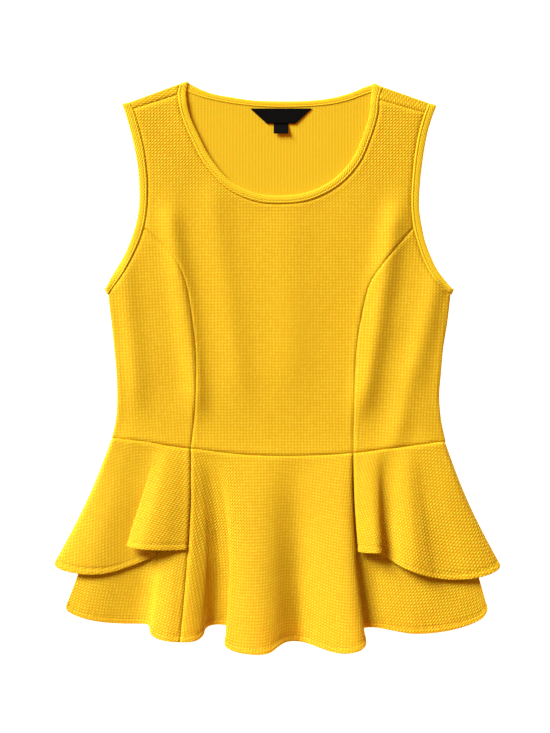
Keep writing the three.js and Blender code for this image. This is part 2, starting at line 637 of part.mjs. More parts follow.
// Both straps and the body below the neck
function frontCentre() {
  const [waistLeft, waistRight] = [PRINCESS_LEFT[0].x, PRINCESS_RIGHT[0].x];
  const armholes = {
    left: seamLine(ARMHOLE_LEFT, PRINCESS_ROW, SHOULDER_SEAM.left.armhole),
    right: seamLine(ARMHOLE_RIGHT, PRINCESS_ROW, SHOULDER_SEAM.right.armhole),
  };
  const necks = {
    left: seamLine(NECK_FRONT, STRAP_ROWS.left, SHOULDER_SEAM.left.neck),
    right: seamLine(NECK_FRONT, STRAP_ROWS.right, SHOULDER_SEAM.right.neck),
  };
  const strapFeet = {
    left: straight(armholes.left(0), necks.left(0)),
    right: straight(necks.right(0), armholes.right(0)),
  };
  const neckFoot = seamLine(NECK_FRONT, STRAP_ROWS.left, STRAP_ROWS.right);
  const neckColumns = (STRAP_ROWS.right - STRAP_ROWS.left) * NECK_STEPS;
  const strapRows = (PRINCESS_ROW - SHOULDER_SEAM.left.armhole) * ARMHOLE_STEPS;
  const columns = 2 * SHOULDER_STEPS + neckColumns;
  const bodyTop = (share) => {
    const column = share * columns;
    if (column <= SHOULDER_STEPS) return strapFeet.left(column / SHOULDER_STEPS);
    const beyond = column - SHOULDER_STEPS - neckColumns;
    if (beyond >= 0) return strapFeet.right(beyond / SHOULDER_STEPS);
    return neckFoot((column - SHOULDER_STEPS) / neckColumns);
  };
  return frontPanel([
    {
      edges: [waistLine(waistLeft, waistRight), bodyTop, lineOf(PRINCESS_LEFT), lineOf(PRINCESS_RIGHT)],
      columns,
      rows: PRINCESS_STEPS,
    },
    {
      edges: [strapFeet.left, straight(armholes.left(1), necks.left(1)), armholes.left, necks.left],
      columns: SHOULDER_STEPS,
      rows: strapRows,
    },
    {
      edges: [strapFeet.right, straight(necks.right(1), armholes.right(1)), necks.right, armholes.right],
      columns: SHOULDER_STEPS,
      rows: strapRows,
    },
  ]);
}

// The armhole seam from the underarm up. The band's fold takes the last little of it and of the
// side below it, so they meet just inside the outline.
function underarmSeam(armholeRows, toRow) {
  const last = lastOf(armholeRows);
  const isLeft = last.seamX < 0;
  const fold = isLeft ? outwardOf(rowSeam(last), rowEdge(last)) : outwardOf(rowEdge(last), rowSeam(last));
  const [seamX, seamY] = pulledBack(rowSeam(last), fold, BAND_FOLD_RADIUS);
  return seamLine([...armholeRows.slice(0, -1), { seamX, seamY }], armholeRows.length - 1, toRow);
}
function sideLine(armholeRows, sideX, above = 0) {
  const corner = underarmSeam(armholeRows, 0)(0);
  const drawnIn = corner[0] - sideX(corner[1]);
  return (share) => {
    const y = mix(waistY(sideX(SIDES[0].y)) + above, corner[1], share);
    return [sideX(y) + drawnIn * share ** UNDERARM_TURN, y];
  };
}

function frontSide(princessRows, armholeRows, sideX, isLeft) {
  const side = sideLine(armholeRows, sideX);
  const princess = lineOf(princessRows);
  const upwards = underarmSeam(armholeRows, PRINCESS_ROW);
  const armhole = isLeft ? upwards : (share) => upwards(1 - share);
  const [left, right] = isLeft ? [side, princess] : [princess, side];
  const columns = (armholeRows.length - 1 - PRINCESS_ROW) * ARMHOLE_STEPS;
  const bottom = waistLine(left(0)[0], right(0)[0]);
  return frontPanel([{ edges: [bottom, armhole, left, right], columns, rows: PRINCESS_STEPS }]);
}

// Places along a line, from its first step to its last but one
function run(line, steps) {
  return Array.from({ length: steps }, (unused, k) => line(k / steps));
}
const reversed = (line) => (share) => line(1 - share);

// The back lies flat, and its top turns over the shoulder folds to the forward seams
function backPanel() {
  const radius = FRONT_EDGE_TOP / 2;
  const shoulder = (armholeRows, seams) => {
    const isRight = armholeRows[0].seamX > 0;
    const acrossAt = (share) => {
      const armhole = seamLine(armholeRows, 0, seams.armhole)(share);
      const neck = seamLine(NECK_FRONT, seams.neckFold, seams.neck)(share);
      return isRight ? straight(armhole, neck) : straight(neck, armhole);
    };
    const ridge = acrossAt(0);
    return { ridge, acrossAt, outward: outwardOf(ridge(1), ridge(0)) };
  };
  const right = shoulder(ARMHOLE_RIGHT, SHOULDER_SEAM.right);
  const left = shoulder(ARMHOLE_LEFT, SHOULDER_SEAM.left);
  const ridgeFoot = ({ ridge, outward }) => (share) => pulledBack(ridge(share), outward, radius);
  const waist = waistLine(sideLeft(SIDES[0].y), sideRight(SIDES[0].y), GAP / 2);
  const armholeSteps = (ARMHOLE_LEFT.length - 1) * ARMHOLE_STEPS;
  const outline = [
    ...run(waist, WAIST.length - 1),
    ...run(sideLine(ARMHOLE_RIGHT, sideRight, GAP / 2), SIDE_STEPS),
    ...run(underarmSeam(ARMHOLE_RIGHT, 0), armholeSteps),
  ];
  const rightStart = outline.length;
  outline.push(...run(ridgeFoot(right), SHOULDER_STEPS), ridgeFoot(right)(1));
  outline.push(...run(reversed(seamLine(NECK_BACK)), (NECK_BACK.length - 1) * NECK_STEPS).slice(1));
  const leftStart = outline.length;
  outline.push(...run(ridgeFoot(left), SHOULDER_STEPS), ridgeFoot(left)(1));
  outline.push(...run(reversed(underarmSeam(ARMHOLE_LEFT, 0)), armholeSteps).slice(1));
  outline.push(...run(reversed(sideLine(ARMHOLE_LEFT, sideLeft, GAP / 2)), SIDE_STEPS));

  const points = outline.map(([x, y]) => new THREE.Vector3(x, y, 0));
  const flat = outline.map(([x, y]) => new THREE.Vector2(x, y));
  const faces = THREE.ShapeUtils.triangulateShape(flat, []).map((face) => [...face].reverse());
  for (const [{ ridge, acrossAt, outward }, start] of [[right, rightStart], [left, leftStart]]) {
    const onFold = (share, step) => foldPoint(ridge(share), outward, radius, step);
    const onFront = (share, step) => {
      const [x, y] = acrossAt(step / NECK_STEPS)(share);
      return new THREE.Vector3(x, y, frontTop(x, y));
    };
    let below = Array.from({ length: SHOULDER_STEPS + 1 }, (unused, k) => start + k);
    for (let step = 1; step <= FOLD_STEPS + NECK_STEPS; step += 1) {
      const row = below.map((unused, k) => {
        const share = k / SHOULDER_STEPS;
        return points.push(step > FOLD_STEPS ? onFront(share, step - FOLD_STEPS) : onFold(share, step)) - 1;
      });
      for (let k = 0; k < SHOULDER_STEPS; k += 1) {
        faces.push([below[k], below[k + 1], row[k + 1], row[k]]);
      }
      below = row;
    }
  }
  return wall(points, faces, CLOTH);
}

// Backs of the two tiers

// One side of a tier, from its hem up to the waist, bowed as the front above it is
function tierSide(end, row) {
  return run((t) => {
    const down = 1 - t;
    const x = mix(row.waist, end.x, down) + row.bow * Math.sin(Math.PI * down);
    return [x, mix(waistY(row.waist), end.y, down)];
  }, FALL_STEPS_DOWN);
}

function tierBack(hem, leftRow, rightRow, underside) {
  const top = waistLine(rightRow.waist, leftRow.waist);
  const outline = [
    ...hem.slice(0, -1).map(({ x, y }) => [x, y]),
    ...tierSide(lastOf(hem), rightRow),
    ...run(top, WAIST.length - 1),
    top(1),
    ...tierSide(hem[0], leftRow).reverse(),
  ];
  return flatPanel(outline.slice(0, -1), underside);
}

// Materials and pieces

const yellow = { color: 0xf2bb1c, roughness: 0.85, metalness: 0 };
const black = { color: 0x17171a, roughness: 0.6, metalness: 0 };

const flounceEnds = [FLOUNCE_LEFT[0], lastOf(FLOUNCE_RIGHT)];
const peplumEnds = [PEPLUM_SIDE_LEFT[0], lastOf(PEPLUM_SIDE_RIGHT)];

const pieces = [
  ['back', backPanel(), yellow],
  ['front_centre', frontCentre(), yellow],
  ['front_side_left', frontSide(PRINCESS_LEFT, ARMHOLE_LEFT, sideLeft, true), yellow],
  ['front_side_right', frontSide(PRINCESS_RIGHT, ARMHOLE_RIGHT, sideRight, false), yellow],
  ['neck_binding', neckBand(), yellow],
  ['armhole_binding_left', armholeBand(ARMHOLE_LEFT, true), yellow],
  ['armhole_binding_right', armholeBand(ARMHOLE_RIGHT, false), yellow],
  ['flounce_back', tierBack(FLOUNCE_BACK_HEM, ...flounceEnds, 0), yellow],
  ['peplum_back', tierBack(PEPLUM_BACK_HEM, ...peplumEnds, LAYER), yellow],
  ['peplum_front', fallingPanel(PEPLUM_FRONT, PEPLUM_FRONT_TOP), yellow],
  ['peplum_side_left', fallingPanel(PEPLUM_SIDE_LEFT, PEPLUM_SIDE_TOP), yellow],
  ['peplum_side_right', fallingPanel(PEPLUM_SIDE_RIGHT, PEPLUM_SIDE_TOP), yellow],
  ['flounce_left', fallingPanel(FLOUNCE_LEFT, FLOUNCE_TOP), yellow],
  ['flounce_right', fallingPanel(FLOUNCE_RIGHT, FLOUNCE_TOP), yellow],
  ['neck_label', flatPanel(LABEL.map(({ x, y }) => [x, y]), BACK_TOP + GAP, LABEL_CLOTH), black],
];

const top = new THREE.Group();
top.name = 'peplum_top';
for (const [name, geometry, finish] of pieces) {
  const mesh = new THREE.Mesh(geometry, new THREE.MeshStandardMaterial(finish));
  mesh.name = name;
  mesh.position.set(LAID_AT.x, LAID_AT.y, 0);
  top.add(mesh);
}
export default top;
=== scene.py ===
"""Looks of a sleeveless peplum top, laid face up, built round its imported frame.

Shapes are drafted in millimetres from the middle of the front waist seam, as the frame's source
is, and are moved to the row frame and turned into metres when a mesh is made.
Left and right are as seen from above.
"""

import math

import bpy
import numpy as np
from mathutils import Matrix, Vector
from mathutils.geometry import delaunay_2d_cdt


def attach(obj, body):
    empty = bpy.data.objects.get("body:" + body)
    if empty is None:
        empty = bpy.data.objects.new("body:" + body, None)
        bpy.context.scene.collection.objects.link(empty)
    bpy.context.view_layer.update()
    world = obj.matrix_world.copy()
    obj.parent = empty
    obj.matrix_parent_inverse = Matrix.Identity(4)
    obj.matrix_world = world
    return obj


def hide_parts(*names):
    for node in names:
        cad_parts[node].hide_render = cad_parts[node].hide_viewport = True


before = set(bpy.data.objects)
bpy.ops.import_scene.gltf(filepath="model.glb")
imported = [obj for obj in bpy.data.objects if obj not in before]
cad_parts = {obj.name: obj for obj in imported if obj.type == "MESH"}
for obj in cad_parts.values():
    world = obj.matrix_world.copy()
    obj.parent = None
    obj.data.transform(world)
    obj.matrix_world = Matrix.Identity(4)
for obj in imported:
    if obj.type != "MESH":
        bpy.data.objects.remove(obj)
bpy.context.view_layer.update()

MM = 0.001

# Where the middle of the front waist seam lies in the row frame
LAID_AT = np.array([2.8, -96.9, 0.0])

# Cloth and the height of each layer's upper face
CLOTH = 1.5
GAP = 0.3
LAYER = CLOTH + GAP
BINDING = 1.6
BINDING_PROUD = 0.4
LABEL_CLOTH = 1.0
BACK_TOP = CLOTH
FRONT_EDGE_TOP = BACK_TOP + LAYER
PEPLUM_BACK_TOP = BACK_TOP + LAYER
PEPLUM_SIDE_TOP = PEPLUM_BACK_TOP + LAYER
FLOUNCE_TOP = PEPLUM_SIDE_TOP + LAYER
PEPLUM_FRONT_TOP = (PEPLUM_SIDE_TOP + FLOUNCE_TOP) / 2
BAND_FOLD_RADIUS = (FRONT_EDGE_TOP + BINDING_PROUD) / 2
FRONT_RISE, FRONT_REACH = 1.6, 22
WAIST_LIFT, WAIST_REACH = 1.1, 14
RELIEF_FADE = 14
UNDERARM_Y = 180
UNDERARM_TURN = 6
FALL_CURVE = 0.75
FLOUNCE_OUTER_TOPS = (3.3, 5.2)

# Seams, hems and stitches
SEAM_DIP, SEAM_DIP_REACH = 0.85, 1.1
SEAM_MEET = 0.6
SEAM_WELT, SEAM_WELT_AT, SEAM_WELT_REACH = 0.28, 4.2, 2.4
HEM_TURN = 6.2
HEM_GROOVE, HEM_GROOVE_REACH = 0.8, 1.0
HEM_PAD, HEM_PAD_REACH = 0.35, 1.5
STITCH_LENGTH, STITCH_PITCH, STITCH_RADIUS = 2.1, 3.3, 0.3
STITCH_LIFT = 0.05
STITCH_SIDES = 6
STITCH_PROFILE = ((-0.36, 0.85), (0, 1.0), (0.36, 0.85))
PUCKER, PUCKER_LENGTH, PUCKER_REACH = 0.16, 8.5, 3.5
PUCKER_SHIFT, PUCKER_SHIFT_LENGTH = 2, 17
BAND_CROWN, BAND_SQUARE = 0.75, 3
BAND_GROOVE, BAND_STITCH_AT, BAND_GROOVE_REACH = 0.34, 2.9, 0.6
BAND_WIDTH, BAND_COLUMNS, BAND_END_ROWS = 9.0, 22, 1.5
BAND_FLAT_WIDTH = 10
BAND_CORD, BAND_CORD_AT, BAND_CORD_REACH = 0.38, 1.5, 0.8
UNEVEN, UNEVEN_WAVES, UNEVEN_LENGTHS = 0.22, 6, (34, 80)
GRAIN_TURN = 3
LABEL_WALL, LABEL_LIFT, LABEL_STEP = 0.75, 0.5, 0.9
LABEL_WAVE, LABEL_WAVE_REACH = 0.12, 9.0
TAB_TOP, TAB_WALL, TAB_LIFT = 0.65, 0.45, 3.2

# Colours, linear
FACE = (0.93, 0.725, 0.026)
# Painted shade in the dimples of the knit's face
DIMPLE_SHADE = (0.7, 0.33, 0.002)
DEEP = (0.82, 0.44, 0.004)
# The reverse's colours; the first is painted shade for the hollows of its ribs
REVERSE_HOLLOW_SHADE = (0.68, 0.485, 0.011)
REVERSE_HIGH = (0.74, 0.555, 0.018)
# Painted shade in the hollows of the binding's ribs
BAND_HOLLOW_SHADE = (0.84, 0.48, 0.006)
# Yellow thread coloured dark orange-brown as painted shade of its stitch line, and darker still in
# the hollows of its twist
THREAD_PAINTED_DARK, THREAD_TWIST_SHADE = (0.50, 0.20, 0.003), 0.8
# The label ribbon's colours; the first is painted shade for the hollows of its weave
RIBBON_HOLLOW_SHADE = (0.0012, 0.0012, 0.0014)
RIBBON_HIGH = (0.0036, 0.0034, 0.0036)

# Knit, with lengths in metres on the flat cut
KNIT_GLOW, KNIT_SCATTER = 0.3, (0.0035, 0.0013, 0.0003)
KNIT_SHEEN, KNIT_STRENGTH = 0.06, 1.0
FACE_ROUGHNESS, REVERSE_ROUGHNESS = 0.62, 0.78
CELL_WIDTH, CELL_HEIGHT, CELL_LEAN, CELL_DEPTH = 0.0035, 0.0033, 1.25, 0.0005
CELL_BASE, CELL_LEVEL, CELL_SPREAD = 0.25, 0.86, 0.3
SWAY_ACROSS, SWAY_UP, DRIFT_UP = 0.5, 0.4, 0.7
YARN_SHARE, PATCH_SHARE = 0.18, 0.14
BAND_RIB, BAND_RIB_SLOPE, BAND_DEPTH = 0.0042, 1.5, 0.00025
BAND_SWAY, BAND_KNOT_SHARE, BAND_LEVEL = 0.6, 0.35, 0.8
REVERSE_SWAY, REVERSE_SHARE, REVERSE_LEVEL = 0.35, 0.25, 0.66
REVERSE_DEPTH, REVERSE_STRENGTH = 0.00017, 0.55
THREAD_DEPTH, THREAD_STRENGTH = 0.0001, 0.5
WEFT, WARP, WARP_SHARE = 0.00055, 0.0004, 0.5
RIBBON_LEVEL, RIBBON_DEPTH, RIBBON_STRENGTH = 0.6, 0.00012, 0.6

# Studio, in metres
FLOOR_HALF, FLOOR_GAP = 9.0, 0.0006
FLOOR_GREY, FLOOR_ROUGHNESS, FLOOR_GLOW = 0.9, 0.9, 1.0
STUDIO_FILL, STUDIO_TINT = 0.3, (1.0, 0.52, 0.24)
KEY_STRENGTH, KEY_ANGLE = 5.8, 30
KEY_TOWARDS = (1.0, -1.0, -0.78)
CAMERA_LENS, CAMERA_SENSOR, FRAME_HEIGHT = 300, 36, 0.8063
FAR_CLIP = 4
VIEW_CENTRE = (-0.0027, 0.0010)

# Mesh steps
RIM_STEPS, RIM_BULGE = 3, 0.35
EDGE_RINGS = (0.6, 1.2, 2.0, 3.1, 4.6, 6.6)
RING_CLEARANCE, RINGS_PER_THINNING = 0.9, 3
LATTICE = 3.4
LATTICE_CLEARANCE = EDGE_RINGS[-1] + LATTICE * 0.6
LABEL_LATTICE, LABEL_CLEARANCE = 1.5, 0.8
KEEP_INSIDE, MERGE_WITHIN = 1, 1e-5
OUTLINE_STEP, BACK_STEP = 1.7, 2.2
SEAM_POINTS_A_ROW, SIDE_POINTS, WAIST_POINTS = 14, 110, 120
PRINCESS_POINTS, NECK_BACK_POINTS = 180, 190
SHOULDER_STEPS = 24
SHOULDER_FROM, SHOULDER_LINES = 0.3, 10
FOLD_STEPS = 7
HEM_STEP, HEM_LEAST_STEPS = 1.9, 3
FALL_FINE, FALL_COARSE = 0.7, 3.2
TIER_POINTS, TIER_LENGTH, TIER_FINE, TIER_COARSE = 150, 200, 0.8, 6.0


def table(names, *rows):
    """Named columns of a short table."""
    return dict(zip(names.split(), np.array(rows, float).T))


WAIST = table(
    "x y",
    (-186.5, 19.5), (-154, 16), (-121, 11), (-98, 8), (-47.5, 2), (4, -0.5), (41, 0.5), (81, 3),
    (110, 6.5), (137.5, 10), (182.5, 15.5),
)
SIDES = table(
    "y left right",
    (15, -186, 182), (39, -180.5, 177), (65.5, -179, 175), (92, -180, 177),
    (118.5, -182.5, 179.5), (144.5, -185.5, 184), (164.5, -188.5, 187), (177, -190.5, 189),
)
# Bands: the free edge and the seam, from the shoulder fold on
ARMHOLE_LEFT = table(
    "edge_x edge_y seam_x seam_y",
    (-173.5, 387, -164.5, 389), (-171, 380, -161.5, 381), (-168, 370, -158.5, 372),
    (-163.5, 353.5, -154, 355.5), (-159.5, 336, -150, 337.5), (-156.5, 318.5, -147.5, 319.5),
    (-155, 301, -146, 301.5), (-154.5, 285.5, -146, 284.5), (-155.5, 270, -147, 268),
    (-158.5, 253.5, -150, 251), (-164, 237, -155.5, 234.5), (-171, 220.5, -163.5, 217.5),
    (-180, 205, -173, 200.5), (-187.5, 193, -182, 187.5), (-193.5, 183.5, -190.5, 177),
)
ARMHOLE_RIGHT = table(
    "edge_x edge_y seam_x seam_y",
    (172, 385.5, 163, 388), (168, 375, 159, 377), (165, 365.5, 156, 367.5),
    (162, 355, 153, 356.5), (158.5, 337, 149.5, 339), (156, 319.5, 147, 320.5),
    (154, 302, 145.5, 302.5), (153, 285.5, 144.5, 284.5), (153, 270, 145, 268),
    (155.5, 253.5, 147, 250.5), (159, 237, 151.5, 234), (164.5, 221.5, 157, 217.5),
    (172, 205.5, 165.5, 200.5), (181, 193.5, 175.5, 188), (191.5, 182.5, 189, 177),
)
NECK_FRONT = table(
    "edge_x edge_y seam_x seam_y",
    (-102, 412, -111.5, 408.5), (-103.5, 397.5, -112.5, 397), (-99.5, 375, -108, 373),
    (-89, 351, -97, 346.5), (-75.5, 326, -83, 320.5), (-54, 301.5, -59, 294),
    (-26, 288.5, -28.5, 280), (2, 286, 2, 277), (30.5, 289.5, 33, 281), (58.5, 303.5, 64, 296.5),
    (79.5, 326, 87, 321), (92, 354, 100.5, 351), (98.5, 376, 107.5, 375), (100, 392, 109, 391),
    (103, 410, 113.5, 405.5),
)
NECK_BACK = table(
    "edge_x edge_y seam_x seam_y",
    (-102, 412, -111.5, 408.5), (-94.5, 406.5, -101.5, 400), (-84.5, 401.5, -89, 394.5),
    (-70.5, 397, -73, 390.5), (-53, 394, -54.5, 387), (-28.5, 390.5, -29.5, 384),
    (1, 389.5, 1, 382.5), (31, 390, 32, 383.5), (53, 392.5, 55, 385.5),
    (70.5, 396.5, 73.5, 389.5), (83.5, 401, 88, 394.5), (94.5, 406, 101.5, 399.5),
    (103, 410, 113.5, 405.5),
)
PRINCESS_ROW = 9
NECK_LAST = 14
LEFT_SHOULDER = {"neck_fold": 0, "armhole": 1, "neck": 1}
RIGHT_SHOULDER = {"neck_fold": NECK_LAST, "armhole": 1, "neck": NECK_LAST - 1}
PRINCESS_LEFT = table(
    "x y",
    (-98, 8), (-95, 36), (-92.5, 75), (-92.5, 112), (-96, 148), (-102, 185), (-112, 211),
    (-130.5, 233.5), (-150, 251),
)
PRINCESS_RIGHT = table(
    "x y",
    (81, 3), (81, 33), (82, 72), (83.5, 110), (88.5, 148), (97, 184), (110, 207), (128.5, 229.5),
    (147, 250.5),
)

# Soft ridges, and troughs of negative height, along the front of the bodice
BODICE_RELIEF = (
    # x, y, to_x, to_y, reach, height
    (-172, 212, -158, 80, 12, 2.4),
    (-119, 252, -92, 70, 11.5, 5.2),
    (-72, 270, -46, 90, 15, 2.4),
    (10, 225, 12, 110, 20, 2),
    (125, 252, 94, 70, 12.5, 5.6),
    (172, 190, 130, 30, 12, 3),
)

# Folds of the peplum and flounces, a row for each line of the cloth from waist to hem: where it
# leaves the waist, its end at the hem, the height of its upper face there and its bow sideways
PEPLUM_FRONT = table(
    "waist x y z bow",
    (-98.2, -109.3, -204.3, 24, 3.2), (-96, -99, -204.1, 24.4, 3.2),
    (-93.5, -90.2, -201.9, 22, 3.3), (-90.5, -84.7, -196.9, 18, 5.5),
    (-87, -81.4, -189.5, 11, 7.7), (-82.5, -73.7, -186, 5.4, 8.8),
    (-77.5, -62.7, -185.8, 5.2, 8.2), (-73, -54.5, -188.1, 6.2, 7.7),
    (-69, -55.5, -192, 9.2, 7.6), (-65, -60, -200.8, 12.6, 7.2), (-60.5, -60, -209.2, 16, 6),
    (-53.5, -50.5, -214.6, 20.2, 4.2), (-42, -36.5, -217.3, 24.4, 2.4),
    (-29.5, -22, -218, 26, 0.6), (-18, -10.5, -215.7, 24.4, 0), (-8.5, -1.5, -209.1, 20.2, 0),
    (-1, 6, -204.8, 15, 0), (7, 14.5, -203.6, 9.4, 0.3), (15, 22.5, -204.3, 6.4, 0.6),
    (24, 31, -206.3, 8.2, 0.8), (35.5, 43.5, -210.8, 14, 0), (47.5, 57.5, -215.2, 19.8, -1.1),
    (59, 71.5, -216.8, 24.4, -2.3), (68, 84.5, -214.8, 26.4, -3.3),
    (74, 92.5, -209.8, 23.8, -3.6), (77.4, 94.4, -202.5, 18, -3.7), (80, 90.5, -194.2, 12, -3.4),
)
PEPLUM_SIDE_LEFT = table(
    "waist x y z bow",
    (-180.2, -235.4, -165.6, 5.1, 5.4), (-179.2, -234.2, -170, 5.5, 5.2),
    (-176.8, -228.8, -173.8, 6.6, 4.5), (-171, -215.6, -178.8, 8.6, 3),
    (-161, -196.9, -182.6, 8.8, 2), (-151, -176, -184.3, 7, 1.1),
    (-142.5, -158, -184.6, 5.8, 1.6), (-136, -147.5, -184.9, 8, 2.6),
    (-131.5, -143, -187.5, 11.5, 3.3), (-127.5, -142.5, -192.5, 14.8, 3.7),
    (-123, -140.5, -197.3, 18, 3.9), (-117, -133.5, -201.2, 21.6, 3.9),
    (-109, -123, -203.4, 24.4, 3.5), (-98.8, -110.1, -204.3, 24, 3.2),
)
PEPLUM_SIDE_RIGHT = table(
    "waist x y z bow",
    (80.8, 89.8, -192.5, 9.4, -3.2), (84, 90.8, -189.8, 6.6, -2.4), (89.5, 97, -188.7, 5.4, -1),
    (99, 107.8, -189.1, 5.5, 0), (114, 123.2, -192, 7.8, 0), (131, 145.2, -195.5, 10, 0),
    (147, 169.4, -194.6, 9.6, 0), (160, 191.4, -190.9, 8.4, 0), (170, 211.2, -184.7, 7, 0),
    (174.5, 222.2, -178.8, 6, 0), (176.4, 226.7, -172.7, 5.4, 0), (177.2, 228, -168.3, 5.1, 0),
)
FLOUNCE_LEFT = table(
    "waist x y z bow",
    (-184.9, -248, -117.8, 3.3, 4.2), (-184.1, -246.8, -121.6, 5, 4.2),
    (-181.8, -241.5, -124.9, 7.6, 3.8), (-176, -226.6, -128.8, 11.4, 2.6),
    (-168, -206.8, -130.6, 13.4, 1.1), (-160, -187, -128.4, 12, 0.3),
    (-152, -167.2, -122.3, 9.6, -0.6), (-146, -149.6, -115.3, 9.2, -1),
    (-142.5, -139.4, -111, 10.1, -1.4), (-139.5, -136.4, -109, 11.5, -2),
    (-137, -140.9, -106.8, 13, -2.6), (-135, -152.9, -103.5, 13.6, -2.6),
    (-133, -163.6, -100.5, 15, -2.2), (-130.5, -168.3, -98.8, 17.4, -1.6),
    (-127, -164.4, -100.2, 21, -0.6), (-121, -151.8, -102.4, 26.2, 0.6),
    (-113, -134, -103.5, 25.6, 1.3), (-105.5, -117, -103.5, 22.2, 1.7),
    (-98.8, -102.3, -103.1, 18.9, 1.7),
)
FLOUNCE_RIGHT = table(
    "waist x y z bow",
    (80.8, 85.6, -105.1, 13.4, -1.2), (84, 88.8, -105.9, 16, -1.2),
    (91.5, 96.8, -106.6, 20.6, -1), (99, 105.6, -106.8, 23.4, -0.6),
    (105, 111.1, -106.4, 21.4, -0.6), (109, 111.5, -106.6, 18, -0.6), (112.5, 109, -107.4, 14, 0),
    (116, 109.4, -108.6, 10.6, 0.6), (120, 115.1, -111.2, 9.2, 0.6),
    (124, 120.6, -114.2, 10, 0.6), (128, 126, -117.6, 13, 0.8), (133.5, 136, -123.1, 17.6, 0.6),
    (139.5, 149, -128.5, 20, 0), (145.5, 162, -132.4, 17.6, -0.6),
    (151.5, 175, -134.9, 13.4, -1.3), (160.6, 193.6, -136.2, 11.8, -2.2),
    (169, 213.4, -134.8, 11.4, -3), (175, 228.8, -131, 9.6, -3.8),
    (178.6, 237.8, -126.8, 7.2, -4.2), (180.4, 241.2, -123.3, 5, -4.3),
    (181.2, 242.3, -120.5, 3.3, -4.3),
)
FLOUNCE_BACK_HEM = table(
    "x y",
    (-248, -117.8), (-244, -122.5), (-226, -127.5), (-198, -129.5), (-130, -131), (0, -132.5),
    (130, -133), (198, -134.5), (226, -131), (238.5, -125.5), (242.3, -120.5),
)
PEPLUM_BACK_HEM = table(
    "x y",
    (-235.4, -165.6), (-232, -171), (-220, -176.5), (-196, -180), (-130, -181.5), (0, -182.5),
    (130, -183), (192, -182), (214, -178), (225, -172.5), (228, -168.3),
)
LABEL = table(
    "x y",
    (-32.5, 381.5), (-14.5, 365), (-7, 365), (-7, 354), (9, 354), (9, 365), (17, 365),
    (35, 381.5),
)


# Curves

def smooth_step(value):
    value = np.clip(value, 0, 1)
    return value * value * (3 - 2 * value)


def mix(a, b, share):
    return a + (b - a) * share


def hump(distance, reach):
    """1 at no distance, fading to nothing a few reaches away."""
    return np.exp(-((distance / reach) ** 2))


def spline(keys, values):
    """A smooth curve through values at rising keys, flat beyond its ends."""
    keys, values = np.asarray(keys, float), np.asarray(values, float)
    low = np.maximum(np.arange(len(keys)) - 1, 0)
    high = np.minimum(np.arange(len(keys)) + 1, len(keys) - 1)
    slopes = (values[high] - values[low]) / (keys[high] - keys[low])

    def at(x):
        x = np.asarray(x, float)
        i = np.clip(np.searchsorted(keys, x, "left") - 1, 0, len(keys) - 2)
        span = keys[i + 1] - keys[i]
        t = np.clip((x - keys[i]) / span, 0, 1)
        pull = slopes[i] * span * t * (1 - t) ** 2 - slopes[i + 1] * span * t * t * (1 - t)
        return mix(values[i], values[i + 1], smooth_step(t)) + pull

    return at


def by_row(rows, name):
    return spline(np.arange(len(rows[name])), rows[name])


def by_column(rows, key, name):
    order = np.argsort(rows[key])
    return spline(rows[key][order], rows[name][order])


def line_of(rows, kind, start, end, count):
    """Points along the edge or seam line of a band between two row numbers."""
    at = np.linspace(start, end, count)
    prefix = kind + "_" if kind else ""
    return np.stack([by_row(rows, prefix + axis)(at) for axis in "xy"], 1)


waist_y = by_column(WAIST, "x", "y")
side_left = by_column(SIDES, "y", "left")
side_right = by_column(SIDES, "y", "right")
armhole_left = by_column(ARMHOLE_LEFT, "edge_y", "edge_x")
armhole_right = by_column(ARMHOLE_RIGHT, "edge_y", "edge_x")


def unit(v):
    return v / np.maximum(np.linalg.norm(v, axis=-1, keepdims=True), 1e-12)


def sideways(direction):
    return np.array([-direction[1], direction[0]])


def point_of(rows, kind, row):
    return np.array([rows[kind + "_x"][row], rows[kind + "_y"][row]])


def run_along(points, axis=0):
    """Length along each line of points, from 0 at its start."""
    steps = np.linalg.norm(np.diff(points, axis=axis), axis=-1)
    start = np.zeros_like(steps.take([0], axis))
    return np.concatenate([start, np.cumsum(steps, axis)], axis)


def loop_of(outline):
    """The outline's points and its first one again."""
    return np.concatenate([outline, outline[:1]])


def distance_to(points, line):
    """Distance in plan from each point to a line of points."""
    start, step = line[:-1], np.diff(line, axis=0)
    nearest = np.full(len(points), 1e9)
    for a, d in zip(start, step):
        t = np.clip(((points - a) @ d) / (d @ d), 0, 1)
        nearest = np.minimum(nearest, np.linalg.norm(points - a - t[:, None] * d, axis=1))
    return nearest


# Heights of the front of the bodice

def inside_outline(x, y):
    """How far a place lies inside the outline at the sides and shoulder folds."""
    low = y < UNDERARM_Y
    left = np.where(low, side_left(y), armhole_left(y))
    right = np.where(low, side_right(y), armhole_right(y))
    depth = np.minimum(x - left, right - x)
    for rows, end in ((ARMHOLE_LEFT, 0), (ARMHOLE_RIGHT, NECK_LAST)):
        ax, ay = rows["seam_x"][0], rows["seam_y"][0]
        slope = (NECK_FRONT["seam_y"][end] - ay) / (NECK_FRONT["seam_x"][end] - ax)
        depth = np.minimum(depth, (ay + slope * (x - ax) - y) / math.hypot(1, slope))
    return np.maximum(depth, 0)


def ridge_height(ridge, x, y):
    """Height of a soft ridge above the place, fading beyond its two ends."""
    from_x, from_y, to_x, to_y, reach, height = ridge
    dx, dy = to_x - from_x, to_y - from_y
    length = math.hypot(dx, dy)
    along = ((x - from_x) * dx + (y - from_y) * dy) / length
    beyond = np.maximum(0, np.maximum(-along, along - length)) / (reach * 2)
    aside = ((x - from_x) * dy - (y - from_y) * dx) / length
    return height * np.exp(-((aside / reach) ** 2) - beyond**2)


def front_top(x, y):
    rise = smooth_step(inside_outline(x, y) / FRONT_REACH)
    lift = WAIST_LIFT * hump(y - waist_y(x), WAIST_REACH)
    relief = sum(ridge_height(ridge, x, y) for ridge in BODICE_RELIEF)
    fade = smooth_step(inside_outline(x, y) / RELIEF_FADE)
    return FRONT_EDGE_TOP + rise * (FRONT_RISE + lift) + relief * fade


